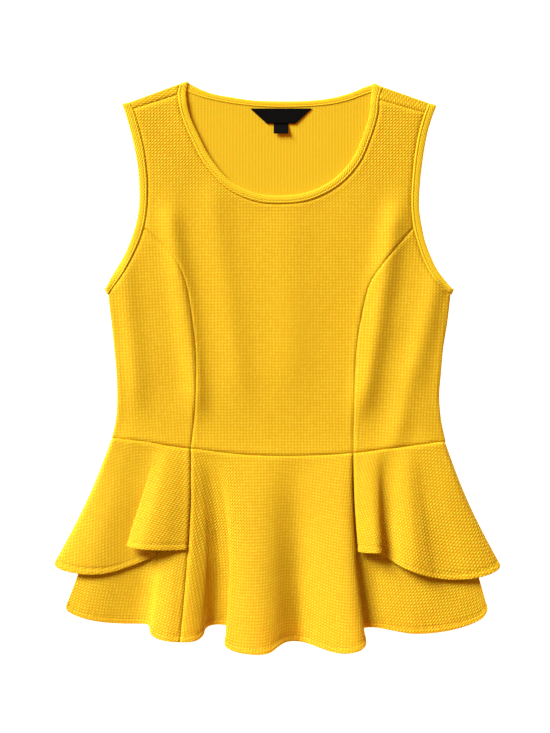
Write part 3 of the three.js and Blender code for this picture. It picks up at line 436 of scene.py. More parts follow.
def seam_profile(distance):
    """The cloth dips into a seam, and stands a little proud over its turned allowance."""
    dip = SEAM_DIP * hump(distance, SEAM_DIP_REACH)
    welt = SEAM_WELT * hump(distance - SEAM_WELT_AT, SEAM_WELT_REACH)
    return welt - dip


def hem_groove(rise):
    """Depth of the groove that a hem's stitches pull, at a distance up from its edge."""
    return HEM_GROOVE * hump(rise - HEM_TURN, HEM_GROOVE_REACH)


# Meshes

KNIT_UV = "cut"
FACE_SLOT, REVERSE_SLOT = 0, 1


def add_object(name, data):
    made = bpy.data.objects.new(name, data)
    bpy.context.scene.collection.objects.link(made)
    return made


def make_mesh(name, points, faces, uv):
    """A mesh object from points in millimetres, with a point's place on the flat cut as its UV."""
    mesh = bpy.data.meshes.new(name)
    mesh.from_pydata(((np.asarray(points) + LAID_AT) * MM).tolist(), [], [list(f) for f in faces])
    layer = mesh.uv_layers.new(name=KNIT_UV)
    loops = np.empty(len(mesh.loops), np.int64)
    mesh.loops.foreach_get("vertex_index", loops)
    layer.data.foreach_set("uv", np.asarray(uv, np.float32)[loops].ravel())
    mesh.polygons.foreach_set("use_smooth", np.ones(len(mesh.polygons), bool))
    mesh.update()
    return add_object(name, mesh)


def vertex_normals(points, faces):
    normals = np.zeros_like(points)
    by_size = {}
    for face in faces:
        by_size.setdefault(len(face), []).append(face)
    for group in by_size.values():
        group = np.array(group)
        a, b, c, d = (points[group[:, k]] for k in (0, 1, 2, -1))
        normal = np.cross(c - a, (d - b) if group.shape[1] > 3 else (c - b))
        for k in range(group.shape[1]):
            np.add.at(normals, group[:, k], normal)
    return unit(normals)


def shell(name, points, faces, uv, thickness):
    """A closed thin shell: the outer faces, a rounded rim and an inner copy whose faces are the
    cloth's reverse. Points, places on the flat cut and thickness are in millimetres."""
    points = np.reshape(np.asarray(points, float), (-1, 3))
    uv = np.reshape(np.asarray(uv, float), (-1, 2)) * MM
    normals = vertex_normals(points, faces)
    edges = set()
    for face in faces:
        for edge in zip(face, [*face[1:], face[0]]):
            if edge[::-1] in edges:
                edges.remove(edge[::-1])
            else:
                edges.add(edge)
    edges = sorted(edges)
    after, before = dict(edges), {b: a for a, b in edges}
    ring = np.array([a for a, _ in edges])
    number = {v: k for k, v in enumerate(ring)}
    along = unit(points[[after[v] for v in ring]] - points[[before[v] for v in ring]])
    outward = unit(np.cross(along, normals[ring]))
    thickness = np.broadcast_to(thickness, len(points))
    inner = points - normals * thickness[:, None]
    half = thickness[ring, None] / 2
    rims = []
    for k in range(1, RIM_STEPS + 1):
        angle = math.pi * k / (RIM_STEPS + 1)
        down, out = 1 - math.cos(angle), RIM_BULGE * math.sin(angle)
        rims.append(points[ring] - normals[ring] * half * down + outward * half * out)
    count, rim = len(points), len(ring)
    levels = [ring, *(2 * count + rim * k + np.arange(rim) for k in range(RIM_STEPS)), ring + count]
    all_faces = [list(face) for face in faces]
    for upper, lower in zip(levels, levels[1:]):
        for a, b in ((number[v], number[after[v]]) for v in ring):
            all_faces.append([upper[b], upper[a], lower[a], lower[b]])
    face_side = len(all_faces)
    all_faces += [[v + count for v in reversed(face)] for face in faces]
    piece = make_mesh(
        name, np.concatenate([points, inner, *rims]), all_faces,
        np.concatenate([uv, uv, *[uv[ring]] * RIM_STEPS]),
    )
    slots = np.where(np.arange(len(all_faces)) < face_side, FACE_SLOT, REVERSE_SLOT)
    piece.data.polygons.foreach_set("material_index", slots.astype(np.int32))
    return piece


def grid_faces(columns, rows, closed=False):
    """Quads between neighbouring points of a grid numbered column by column."""
    around = columns if closed else columns + 1
    corners = [(i * (rows + 1), (i + 1) % around * (rows + 1)) for i in range(columns)]
    return [(a + j, b + j, b + j + 1, a + j + 1) for a, b in corners for j in range(rows)]


def graded(length, fine, coarse, growth=1.35):
    """Shares from 0 to 1 whose steps are fine at both ends and coarse between."""
    steps, step = [0.0], fine
    while steps[-1] < length / 2:
        steps.append(steps[-1] + step)
        step = min(step * growth, coarse)
    half = np.array(steps) / steps[-1] / 2
    return np.concatenate([half, 1 - half[-2::-1]])


def resample(line, spacing):
    """The line again, with even steps of about the spacing."""
    lengths = run_along(line)
    at = np.linspace(0, lengths[-1], max(2, int(round(lengths[-1] / spacing)) + 1))
    return np.stack([np.interp(at, lengths, line[:, k]) for k in range(line.shape[1])], 1)


def undulation(x, y, seed):
    """Slight unevenness of cloth that was smoothed by hand, in millimetres."""
    random = np.random.default_rng(seed)
    total = np.zeros_like(x)
    for _ in range(UNEVEN_WAVES):
        angle, phase = random.uniform(0, 2 * math.pi, 2)
        wave = random.uniform(*UNEVEN_LENGTHS)
        total += np.sin((x * math.cos(angle) + y * math.sin(angle)) * 2 * math.pi / wave + phase)
    return total * UNEVEN / math.sqrt(UNEVEN_WAVES)


# Bodice

def inside(points, outline):
    """Which points lie inside a closed outline."""
    x, y = points.T
    result = np.zeros(len(points), bool)
    for (ax, ay), (bx, by) in zip(outline, np.roll(outline, -1, 0)):
        if ay == by:
            continue
        crosses = (ay > y) != (by > y)
        result ^= crosses & (x < (bx - ax) * (y - ay) / (by - ay) + ax)
    return result


def fill(outline, rings=EDGE_RINGS, spacing=LATTICE, clearance=LATTICE_CLEARANCE, stagger=0.5):
    """Points and triangles inside an anticlockwise outline, with rings close to its edge."""
    step = np.roll(outline, -1, 0) - np.roll(outline, 1, 0)
    inward = unit(np.stack([-step[:, 1], step[:, 0]], 1))
    closed = loop_of(outline)
    points = [outline]
    for k, depth in enumerate(rings):
        ring = outline + inward * depth
        keep = inside(ring, outline) & (distance_to(ring, closed) > depth * RING_CLEARANCE)
        points.append(ring[keep][:: 1 + k // RINGS_PER_THINNING])
    low, high = outline.min(0), outline.max(0)
    columns, rows = (np.arange(low[k], high[k], spacing) for k in (0, 1))
    x, y = np.meshgrid(columns, rows)
    x = x + (np.arange(len(rows)) % 2)[:, None] * spacing * stagger
    lattice = np.stack([x.ravel(), y.ravel()], 1)
    lattice = lattice[inside(lattice, outline)]
    lattice = lattice[distance_to(lattice, closed) > clearance]
    corners = [Vector(p) for p in np.concatenate([*points, lattice])]
    rim = list(range(len(outline)))
    found = delaunay_2d_cdt(corners, [], [rim], KEEP_INSIDE, MERGE_WITHIN)
    return np.array([list(v) for v in found[0]]), [list(face) for face in found[2]]


def turned(xy, degrees):
    c, s = math.cos(math.radians(degrees)), math.sin(math.radians(degrees))
    return xy @ np.array([[c, s], [-s, c]])


def front_panel(name, outline, grain, seed):
    places, faces = fill(outline)
    x, y = places.T
    relief = seam_profile(distance_to(places, loop_of(outline))) + undulation(x, y, seed)
    points = np.column_stack([x, y, front_top(x, y) + relief])
    return shell(name, points, faces, turned(places, grain), CLOTH)


def seam_line(rows, start, end):
    return line_of(rows, "seam", start, end, int(abs(end - start) * SEAM_POINTS_A_ROW) + 2)


def fold_out(rows, row, sign):
    """Direction in plan, away from the garment, of a fold line across the band's end."""
    return sideways(unit(point_of(rows, "edge", row) - point_of(rows, "seam", row)) * sign)


def underarm(rows):
    """Armhole rows with the seam's last point just inside the underarm's fold, and its number."""
    last = len(rows["seam_x"]) - 1
    sign = -1 if rows["seam_x"][0] > 0 else 1
    outward = fold_out(rows, last, sign)
    drawn = {k: v.copy() for k, v in rows.items()}
    drawn["seam_x"][last] -= outward[0] * BAND_FOLD_RADIUS
    drawn["seam_y"][last] -= outward[1] * BAND_FOLD_RADIUS
    return drawn, last


def side_line(rows, side):
    """Side of the bodice from the waist up to the underarm."""
    drawn, last = underarm(rows)
    corner = point_of(drawn, "seam", last)
    share = np.linspace(0, 1, SIDE_POINTS)
    y = mix(waist_y(side(SIDES["y"][0])), corner[1], share)
    return np.column_stack([side(y) + (corner[0] - side(corner[1])) * share**UNDERARM_TURN, y])


def flanks():
    """Armhole rows and side line of the left and right, and the last row's number."""
    (arm_l, last), (arm_r, _) = underarm(ARMHOLE_LEFT), underarm(ARMHOLE_RIGHT)
    side_l, side_r = side_line(ARMHOLE_LEFT, side_left), side_line(ARMHOLE_RIGHT, side_right)
    return (arm_l, side_l), (arm_r, side_r), last


def waist_line(start, end):
    x = np.linspace(start, end, WAIST_POINTS)
    return np.column_stack([x, waist_y(x)])


def princess(rows):
    return line_of(rows, "", 0, len(rows["x"]) - 1, PRINCESS_POINTS)


def closed_line(*lines):
    """One outline of lines that meet end to end, in even steps."""
    return np.concatenate([resample(line, OUTLINE_STEP)[:-1] for line in lines])


def shoulder_line(rows, at, share=1.0):
    """Across the shoulder from the armhole to the neck, at a share of the way forward."""
    armhole = seam_line(rows, 0, at["armhole"])
    neck = seam_line(NECK_FRONT, at["neck_fold"], at["neck"])
    a, b = (line[int(round(share * (len(line) - 1)))] for line in (armhole, neck))
    return mix(a[None], b[None], np.linspace(0, 1, SHOULDER_STEPS + 1)[:, None])


def make_bodice():
    left, right = LEFT_SHOULDER, RIGHT_SHOULDER
    (arm_l, side_l), (arm_r, side_r), last = flanks()
    princess_l, princess_r = princess(PRINCESS_LEFT), princess(PRINCESS_RIGHT)
    centre = closed_line(
        waist_line(princess_l[0, 0], princess_r[0, 0]),
        princess_r,
        seam_line(ARMHOLE_RIGHT, PRINCESS_ROW, right["armhole"]),
        shoulder_line(ARMHOLE_RIGHT, right),
        seam_line(NECK_FRONT, right["neck"], left["neck"]),
        shoulder_line(ARMHOLE_LEFT, left)[::-1],
        seam_line(ARMHOLE_LEFT, left["armhole"], PRINCESS_ROW),
        princess_l[::-1],
    )
    outline_l = closed_line(
        waist_line(side_l[0, 0], princess_l[0, 0]), princess_l,
        seam_line(arm_l, PRINCESS_ROW, last), side_l[::-1],
    )
    outline_r = closed_line(
        waist_line(princess_r[0, 0], side_r[0, 0]), side_r,
        seam_line(arm_r, last, PRINCESS_ROW), princess_r[::-1],
    )
    return (
        front_panel("centre_panel", centre, grain=0, seed=3),
        front_panel("left_panel", outline_l, grain=-GRAIN_TURN, seed=4),
        front_panel("right_panel", outline_r, grain=GRAIN_TURN, seed=5),
    )


def fold_level(line, outward, radius, step):
    """The line moved round a fold that stands on the resting surface, at a step of its half turn."""
    angle = math.pi * (step / FOLD_STEPS - 0.5)
    flat = line + outward * radius * (math.cos(angle) - 1)
    return np.column_stack([flat, np.full(len(flat), radius * (1 + math.sin(angle)))])


def make_back():
    """The back lies flat, and its top turns over the shoulder folds to the forward seams."""
    radius = FRONT_EDGE_TOP / 2
    sides = []
    for rows, at, flip in ((ARMHOLE_RIGHT, RIGHT_SHOULDER, 1), (ARMHOLE_LEFT, LEFT_SHOULDER, -1)):
        ridge = shoulder_line(rows, at, 0)[::flip]
        outward = sideways(unit(ridge[0] - ridge[-1]))
        if outward[1] < 0:
            outward = -outward
        shares = np.linspace(SHOULDER_FROM, 1, SHOULDER_LINES)
        forward = [shoulder_line(rows, at, share)[::flip] for share in shares]
        sides.append((ridge, outward, forward))
    feet = [ridge - outward * radius for ridge, outward, _ in sides]
    (arm_l, side_l), (arm_r, side_r), last = flanks()
    neck = line_of(NECK_BACK, "seam", len(NECK_BACK["seam_x"]) - 1, 0, NECK_BACK_POINTS)
    outline = np.concatenate([
        resample(waist_line(side_l[0, 0], side_r[0, 0]), BACK_STEP)[:-1],
        resample(side_r, BACK_STEP)[:-1],
        resample(seam_line(arm_r, last, 0), BACK_STEP)[:-1],
        feet[0],
        resample(neck, BACK_STEP)[1:-1],
        feet[1],
        resample(seam_line(arm_l, 0, last), BACK_STEP)[1:],
        resample(side_l[::-1], BACK_STEP)[1:-1],
    ])
    places, faces = fill(outline)
    faces = [face[::-1] for face in faces]
    points = [*np.column_stack([places, np.zeros(len(places))])]
    uv = [*places]
    for (ridge, outward, forward), foot in zip(sides, feet):
        below = [int(np.argmin(np.linalg.norm(places - p, axis=1))) for p in foot]
        levels = [fold_level(ridge, outward, radius, k) for k in range(1, FOLD_STEPS + 1)]
        for line in forward:
            dip = seam_profile(distance_to(line, forward[-1]))
            levels.append(np.column_stack([line, front_top(*line.T) + dip]))
        for level in levels:
            row = list(range(len(points), len(points) + len(level)))
            points += [*level]
            mirrored = level[:, :2] + 2 * outward * ((ridge - level[:, :2]) @ outward)[:, None]
            uv += [*mirrored]
            faces += [(a, b, d, c) for a, b, c, d in zip(below, below[1:], row, row[1:])]
            below = row
    return shell("back_panel", points, faces, uv, CLOTH)


# Bands

def make_band(name, front, back, steps_per_row, edge_first):
    """A band round an opening that is folded flat, with the fold at each end."""
    rows_front, rows_back = len(front["seam_x"]) - 1, len(back["seam_x"]) - 1
    width = np.linspace(0, 1, BAND_COLUMNS + 1)
    radius = BAND_FOLD_RADIUS

    def middle_of(row):
        return (point_of(front, "edge", row) + point_of(front, "seam", row)) / 2

    outwards = []
    for row, inner in ((0, 1), (rows_front, rows_front - 1)):
        normal = fold_out(front, row, 1)
        inward = middle_of(inner) - middle_of(row)
        outwards.append(normal if normal @ inward < 0 else -normal)

    def across(rows, at):
        edge, seam = (line_of(rows, kind, at, at, 1) for kind in ("edge", "seam"))
        return mix(edge, seam, width[:, None])

    def pulled(flat, at, last):
        for outward, beyond in ((outwards[0], at), (outwards[1], last - at)):
            flat = flat - outward * radius * (1 - smooth_step(beyond / BAND_END_ROWS))
        return flat

    crown = BAND_CROWN * (1 - np.abs(2 * width - 1) ** BAND_SQUARE)
    length = BAND_WIDTH * (1 - width)
    crown = crown - BAND_GROOVE * hump(length - BAND_STITCH_AT, BAND_GROOVE_REACH)
    crown = crown + BAND_CORD * hump(length - BAND_CORD_AT, BAND_CORD_REACH)
    columns, thick = [], []
    for at in np.linspace(0, rows_front, rows_front * steps_per_row + 1):
        flat = pulled(across(front, at), at, rows_front)
        ended = 1 - smooth_step(min(at, rows_front - at) / BAND_END_ROWS)
        z = mix(front_top(*flat.T) + BINDING_PROUD, 2 * radius, ended) + crown
        columns.append(np.column_stack([flat, z]))
        thick.append(BINDING + crown)
    for at, outward, steps in (
        (rows_front, outwards[1], range(FOLD_STEPS - 1, 0, -1)),
        (0, outwards[0], range(1, FOLD_STEPS)),
    ):
        columns += [fold_level(across(front, at), outward, radius, k) for k in steps]
        thick += [np.full(len(width), BINDING)] * len(steps)
        if at:
            for spot in np.linspace(rows_back, 0, rows_back * steps_per_row + 1):
                flat = pulled(across(back, spot), spot, rows_back)
                columns.append(np.column_stack([flat, np.zeros(len(flat))]))
                thick.append(BINDING + crown)
    points = np.array(columns)
    along = run_along(points[:, len(width) // 2])
    uv = np.stack(np.broadcast_arrays(along[:, None], BAND_WIDTH * width[None]), 2)
    faces = grid_faces(len(points), len(width) - 1, closed=True)
    if not edge_first:
        faces = [face[::-1] for face in faces]
    piece = shell(name, points, faces, uv, np.array(thick).ravel())
    front_columns = rows_front * steps_per_row + 1
    stitch = int(np.argmin(np.abs(length - BAND_STITCH_AT)))
    return piece, points[:front_columns, stitch], float(along[-1]) * MM


# Peplum and flounces

def fan(first, last, rows):
    """Place on the flat cut of each point of a flared panel between its waist and hem lines."""
    waist, hem = run_along(first), run_along(last)
    length = np.linalg.norm(last - first, axis=1).mean()
    angle = (hem[-1] - waist[-1]) / length
    inner = waist[-1] / angle
    share = mix((waist / waist[-1])[:, None], (hem / hem[-1])[:, None], rows[None])
    turn = (share - 0.5) * angle
    out = inner + length * rows[None]
    return np.stack([out * np.sin(turn), -out * np.cos(turn)], 2)


def falling_panel(name, rows, usual_top, seed, seams, outer=()):
    """A flared panel from the waist to its hem, and the line of its hem's stitches."""
    count = len(rows["waist"]) - 1
    waist, x, y, z, bow = (by_row(rows, k) for k in ("waist", "x", "y", "z", "bow"))
    tops = np.full(count + 1, usual_top)
    tops[list(outer)] = FLOUNCE_OUTER_TOPS[:len(outer)]
    top = spline(np.arange(count + 1), tops)
    hem = np.column_stack([rows[k] for k in ("x", "y", "z")])
    width = np.linalg.norm(np.diff(hem, axis=0), axis=1)
    at = [0.0]
    for k, w in enumerate(width):
        steps = max(HEM_LEAST_STEPS, int(round(w / HEM_STEP)))
        at += list(k + np.linspace(0, 1, steps + 1)[1:])
    at = np.array(at)
    down = graded(np.linalg.norm(hem[count // 2, :2]), FALL_FINE, FALL_COARSE)[::-1]
    across, fall = np.meshgrid(at, down, indexing="ij")
    start = waist(across)
    points = np.stack([
        mix(start, x(across), fall) + bow(across) * np.sin(math.pi * fall),
        mix(waist_y(start), y(across), fall),
        mix(top(across), z(across), fall**FALL_CURVE),
    ], 2)
    for seam, edge, inward in zip(seams, (0, -1), (1, -2)):
        if seam:
            points[edge] += unit(points[edge] - points[inward]) * SEAM_MEET * fall[0][:, None]
    uv = fan(points[:, -1], points[:, 0], fall[0])
    faces = grid_faces(len(at) - 1, len(down) - 1)
    normals = vertex_normals(points.reshape(-1, 3), faces).reshape(points.shape)
    rise, left = run_along(points, 1), run_along(points, 0)
    profile = seam_profile(rise[:, -1:] - rise)
    for seam, distance in zip(seams, (left, left[-1:] - left)):
        profile = profile + (seam_profile(distance) if seam else 0)
    shift = np.sin(left / PUCKER_SHIFT_LENGTH) * PUCKER_SHIFT
    pucker = PUCKER * np.sin(left * 2 * math.pi / PUCKER_LENGTH + shift)
    pad = HEM_PAD * smooth_step((HEM_TURN - rise) / HEM_PAD_REACH)
    profile = profile + pad - hem_groove(rise) + pucker * hump(rise - HEM_TURN, PUCKER_REACH)
    profile = profile + undulation(uv[..., 0], uv[..., 1], seed)
    points = points + normals * profile[..., None]
    piece = shell(name, points, faces, uv, CLOTH)
    row = int(np.argmin(np.abs(rise[len(at) // 2] - HEM_TURN)))
    return piece, points[:, row]


def flat_tier(name, hem, left, right, underside):
    """A back tier, lying flat, whose sides follow those of the fronts above it."""
    ends = left["waist"][0], right["waist"][-1]
    hem_line = line_of(hem, "", 0, len(hem["x"]) - 1, TIER_POINTS)
    start = np.linspace(ends[0], ends[1], TIER_POINTS)
    waist_points = np.column_stack([start, waist_y(start)])
    down = graded(TIER_LENGTH, TIER_FINE, TIER_COARSE)[::-1]
    points = mix(waist_points[:, None], hem_line[:, None], down[None, :, None])
    bow = np.linspace(left["bow"][0], right["bow"][-1], len(start))
    points[..., 0] += bow[:, None] * np.sin(math.pi * down)
    thickness = CLOTH - hem_groove(np.linalg.norm(points - hem_line[:, None], axis=2))
    points = np.concatenate([points, underside + thickness[..., None]], 2)
    faces = grid_faces(TIER_POINTS - 1, len(down) - 1)
    return shell(name, points, faces, fan(waist_points, hem_line, down), thickness.ravel())


# Stitches and label

def capsule():
    """Points and faces of one stitch lying along X, one unit long and one unit thick in radius."""
    sides = STITCH_SIDES
    around = np.arange(sides) * 2 * math.pi / sides
    points = [(-0.5, 0, 0)]
    for x, r in STITCH_PROFILE:
        points += [(x, r * math.cos(a), r * math.sin(a)) for a in around]
    points.append((0.5, 0, 0))
    faces = [(0, 1 + (k + 1) % sides, 1 + k) for k in range(sides)]
    for ring in range(len(STITCH_PROFILE) - 1):
        a = 1 + ring * sides
        faces += [
            (a + k, a + (k + 1) % sides, a + sides + (k + 1) % sides, a + sides + k)
            for k in range(sides)
        ]
    end = len(points) - 1
    faces += [(end - sides + k, end - sides + (k + 1) % sides, end) for k in range(sides)]
    return np.array(points, float), faces


def stitches(name, line):
    """One mesh of stitches along a line of points on the cloth's upper face."""
    unit_points, unit_faces = capsule()
    points, faces = [], []
    line = resample(line, STITCH_PITCH)
    for a, b in zip(line, line[1:]):
        forward = unit(b - a)
        side = unit(np.cross([0, 0, 1.0], forward))
        up = np.cross(forward, side)
        axes = np.stack([forward * STITCH_LENGTH, side * STITCH_RADIUS, up * STITCH_RADIUS])
        start = len(points) * len(unit_points)
        points.append(unit_points @ axes + (a + b) / 2 + up * STITCH_LIFT)
        faces += [[v + start for v in face] for face in unit_faces]
    points = np.concatenate(points)
    return make_mesh(name, points, faces, points[:, :2] * MM)


def make_label():
    """A bare woven label: a trapezoid whose sides are turned under, and a small tab below it."""
    corners = np.column_stack([LABEL["x"], LABEL["y"]])
    pieces = []
    for name, outline, height, thickness, lift in (
        ("label", corners[[0, 1, 6, 7]], LABEL_CLOTH, LABEL_WALL, LABEL_LIFT),
        ("label_tab", corners[[2, 3, 4, 5]], TAB_TOP, TAB_WALL, TAB_LIFT),
    ):
        rim = resample(loop_of(outline), LABEL_STEP)[:-1]
        places, faces = fill(rim, (), LABEL_LATTICE, LABEL_CLEARANCE, stagger=0)
        down = (outline[:, 1].max() - places[:, 1]) / np.ptp(outline[:, 1])
        wave = LABEL_WAVE * np.sin(places[:, 0] / LABEL_WAVE_REACH)
        z = BACK_TOP + GAP + height + wave + lift * smooth_step(down)
        pieces.append(shell(name, np.column_stack([places, z]), faces, places, thickness))
    return pieces


# Materials

def set_inputs(node, values):
    for name, value in values.items():
        node.inputs[name].default_value = value


class Finish:
    """A procedural material and shorthand for its nodes."""

    def __init__(self, name, roughness, sheen=0.0, specular=0.12, glow=0.0):
        self.material = bpy.data.materials.new(name)
        self.material.use_nodes = True
        self.tree = self.material.node_tree
        self.shader = self.tree.nodes["Principled BSDF"]
        set_inputs(self.shader, {
            "Roughness": roughness, "Sheen Weight": sheen, "Specular IOR Level": specular,
            "Subsurface Weight": glow, "Subsurface Scale": 1.0, "Subsurface Radius": KNIT_SCATTER,
        })
        self.place = self.node("UVMap", uv_map=KNIT_UV).outputs["UV"]

    def node(self, kind, inputs=(), **settings):
        node = self.tree.nodes.new("ShaderNode" + kind)
        for key, value in settings.items():
            setattr(node, key, value)
        for key, value in dict(inputs).items():
            if isinstance(value, bpy.types.NodeSocket):
                self.tree.links.new(value, node.inputs[key])
            else:
                node.inputs[key].default_value = value
        return node

    def math(self, operation, a, b=0.0, c=0.0):
        return self.node("Math", {0: a, 1: b, 2: c}, operation=operation).outputs[0]

    def scaled(self, value, by, plus=0.0):
        return self.math("MULTIPLY_ADD", value, by, plus)

    def cells(self, width, height):
        """Place on the flat cut, counted across and up in cells of a size in metres."""
        split = self.node("SeparateXYZ", {0: self.place})
        return (
            self.math("DIVIDE", split.outputs[0], width),
            self.math("DIVIDE", split.outputs[1], height),
        )

    def noise(self, scale, detail=2.0):
        settings = {"Vector": self.place, "Scale": scale, "Detail": detail}
        return self.node("TexNoise", settings).outputs["Fac"]

    def sway(self, scale):
        """Noise about 0, to push rows of knit a little out of line."""
        return self.math("SUBTRACT", self.noise(scale), 0.5)

    def wave(self, value):
        """0 to 1 and back for each whole step of the value."""
        turn = self.scaled(value, 2 * math.pi)
        return self.scaled(self.math("COSINE", turn), 0.5, 0.5)

    def blend(self, share, low, high):
        mixed = self.node("Mix", data_type="RGBA")
        self.tree.links.new(share, mixed.inputs[0])
        for socket, value in ((mixed.inputs[6], low), (mixed.inputs[7], high)):
            if isinstance(value, bpy.types.NodeSocket):
                self.tree.links.new(value, socket)
            else:
                socket.default_value = (*value, 1)
        return mixed.outputs[2]

    def paint(self, colour, height, depth, strength):
        self.tree.links.new(colour, self.shader.inputs["Base Color"])
        bump = self.node("Bump", {"Height": height, "Distance": depth, "Strength": strength})
        self.tree.links.new(bump.outputs[0], self.shader.inputs["Normal"])
        return self.material


def knit(name):
    """The textured face: a raised slanted oval for each stitch, with dimples between that are
    coloured darker as painted shade.
    """
    finish = Finish(name, FACE_ROUGHNESS, KNIT_SHEEN, glow=KNIT_GLOW)
    across, up = finish.cells(CELL_WIDTH, CELL_HEIGHT)
    sway, drift = finish.sway(scale=70), finish.sway(scale=12)
    across = finish.scaled(sway, SWAY_ACROSS, plus=across)
    up = finish.scaled(sway, SWAY_UP, plus=finish.scaled(drift, DRIFT_UP, plus=up))
    cell = finish.node("CombineXYZ", {0: finish.math("ROUND", across), 1: finish.math("ROUND", up)})
    own = finish.node("TexWhiteNoise", {"Vector": cell.outputs[0]}).outputs["Value"]
    slanted = finish.wave(finish.math("SUBTRACT", across, up))
    oval = finish.math("ADD", finish.wave(across), finish.wave(up))
    oval = finish.scaled(slanted, CELL_LEAN, plus=oval)
    base, crest = CELL_BASE * CELL_LEAN, 2 + CELL_LEAN
    oval = finish.math("DIVIDE", finish.math("SUBTRACT", oval, base), crest - base)
    oval = finish.scaled(oval, finish.scaled(own, CELL_SPREAD, plus=CELL_LEVEL))
    height = finish.scaled(finish.noise(scale=2600, detail=1.0), YARN_SHARE, plus=oval)
    # Colour darkens in the dimples between the ovals: painted shade, a little uneven from stitch to
    # stitch.
    colour = finish.blend(finish.math("MINIMUM", oval, 1.0), DIMPLE_SHADE, FACE)
    patches = finish.scaled(finish.noise(scale=22, detail=3.0), PATCH_SHARE)
    colour = finish.blend(patches, colour, DEEP)
    return finish.paint(colour, height, CELL_DEPTH, KNIT_STRENGTH)


def binding(name):
    """The knit of the bound edges, whose rows run aslant because the strip is cut on the bias."""
    finish = Finish(name, FACE_ROUGHNESS, KNIT_SHEEN, glow=KNIT_GLOW)
    along, over = finish.cells(BAND_RIB, BAND_RIB)
    ribs = finish.scaled(over, BAND_RIB_SLOPE, plus=along)
    ribs = finish.scaled(finish.sway(scale=90), BAND_SWAY, plus=ribs)
    knots = finish.scaled(along, -BAND_RIB_SLOPE, plus=over)
    height = finish.scaled(finish.wave(knots), BAND_KNOT_SHARE, plus=finish.wave(ribs))
    share = finish.math("MINIMUM", finish.scaled(height, BAND_LEVEL), 1.0)
    # Colour darkens in the hollows between the ribs: painted shade.
    colour = finish.blend(share, BAND_HOLLOW_SHADE, FACE)
    return finish.paint(colour, height, BAND_DEPTH, KNIT_STRENGTH)


def knit_reverse(name):
    """The smoother reverse, with fine upright ribs."""
    finish = Finish(name, REVERSE_ROUGHNESS, KNIT_SHEEN, glow=KNIT_GLOW)
    across, up = finish.cells(CELL_WIDTH, CELL_HEIGHT)
    halves = finish.scaled(across, 2)
    fine = finish.wave(finish.scaled(finish.sway(scale=40), REVERSE_SWAY, plus=halves))
    ribs = finish.scaled(fine, REVERSE_SHARE, plus=finish.wave(across))
    height = finish.scaled(finish.wave(up), REVERSE_SHARE, plus=ribs)
    # Colour darkens in the hollows between the ribs: painted shade.
    colour = finish.blend(finish.scaled(height, REVERSE_LEVEL), REVERSE_HOLLOW_SHADE, REVERSE_HIGH)
    return finish.paint(colour, height, REVERSE_DEPTH, REVERSE_STRENGTH)


def thread(name):
    finish = Finish(name, roughness=0.55, sheen=0.2)
    twist = finish.noise(scale=1500, detail=1.0)
    # The thread's dark colour is painted shade of the stitch line; the twist's hollows are darkened
    # as painted shade too.
    colour = finish.blend(twist, [c * THREAD_TWIST_SHADE for c in THREAD_PAINTED_DARK], THREAD_PAINTED_DARK)
    return finish.paint(colour, twist, THREAD_DEPTH, THREAD_STRENGTH)


def ribbon(name):
    """Black woven label ribbon, bare: fine weft lines crossed by a finer warp."""
    finish = Finish(name, roughness=0.6, specular=0.05)
    warp, weft = finish.cells(WARP, WEFT)
    height = finish.scaled(finish.wave(warp), WARP_SHARE, plus=finish.wave(weft))
    # Colour darkens in the hollows of the weave: painted shade.
    colour = finish.blend(finish.scaled(height, RIBBON_LEVEL), RIBBON_HOLLOW_SHADE, RIBBON_HIGH)
    return finish.paint(colour, height, RIBBON_DEPTH, RIBBON_STRENGTH)


# Assembly

face_knit = knit("knit_face")
band_knit = binding("knit_band")
reverse_knit = knit_reverse("knit_reverse")
yellow_thread_painted_shade = thread("yellow_thread_painted_shade")
label_ribbon = ribbon("label_ribbon")


def dress(piece, node, finishes):
    for finish in finishes:
        piece.data.materials.append(finish)
    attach(piece, "root")
    if node:
        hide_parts(node)


def cut_of(piece):
    """Flat width, length and area of a panel, in metres, from its places on the flat cut."""
    mesh = piece.data
    count = len(mesh.loops)
    uv = np.empty(count * 2, np.float32)
    mesh.uv_layers[KNIT_UV].data.foreach_get("uv", uv)
    uv = uv.reshape(-1, 2)
    total = 0.0
    for face in mesh.polygons:
        if face.material_index == REVERSE_SLOT:
            p = uv[face.loop_start:face.loop_start + face.loop_total]
            q = np.roll(p, -1, 0)
            total += abs((p[:, 0] * q[:, 1] - q[:, 0] * p[:, 1]).sum()) / 2
    size = uv.max(0) - uv.min(0)
    return (float(size[0]), float(size[1])), float(min(total, size[0] * size[1]))


knit_pair = (face_knit, reverse_knit)
turned_pair = (reverse_knit, face_knit)
label_pair = (label_ribbon, label_ribbon)

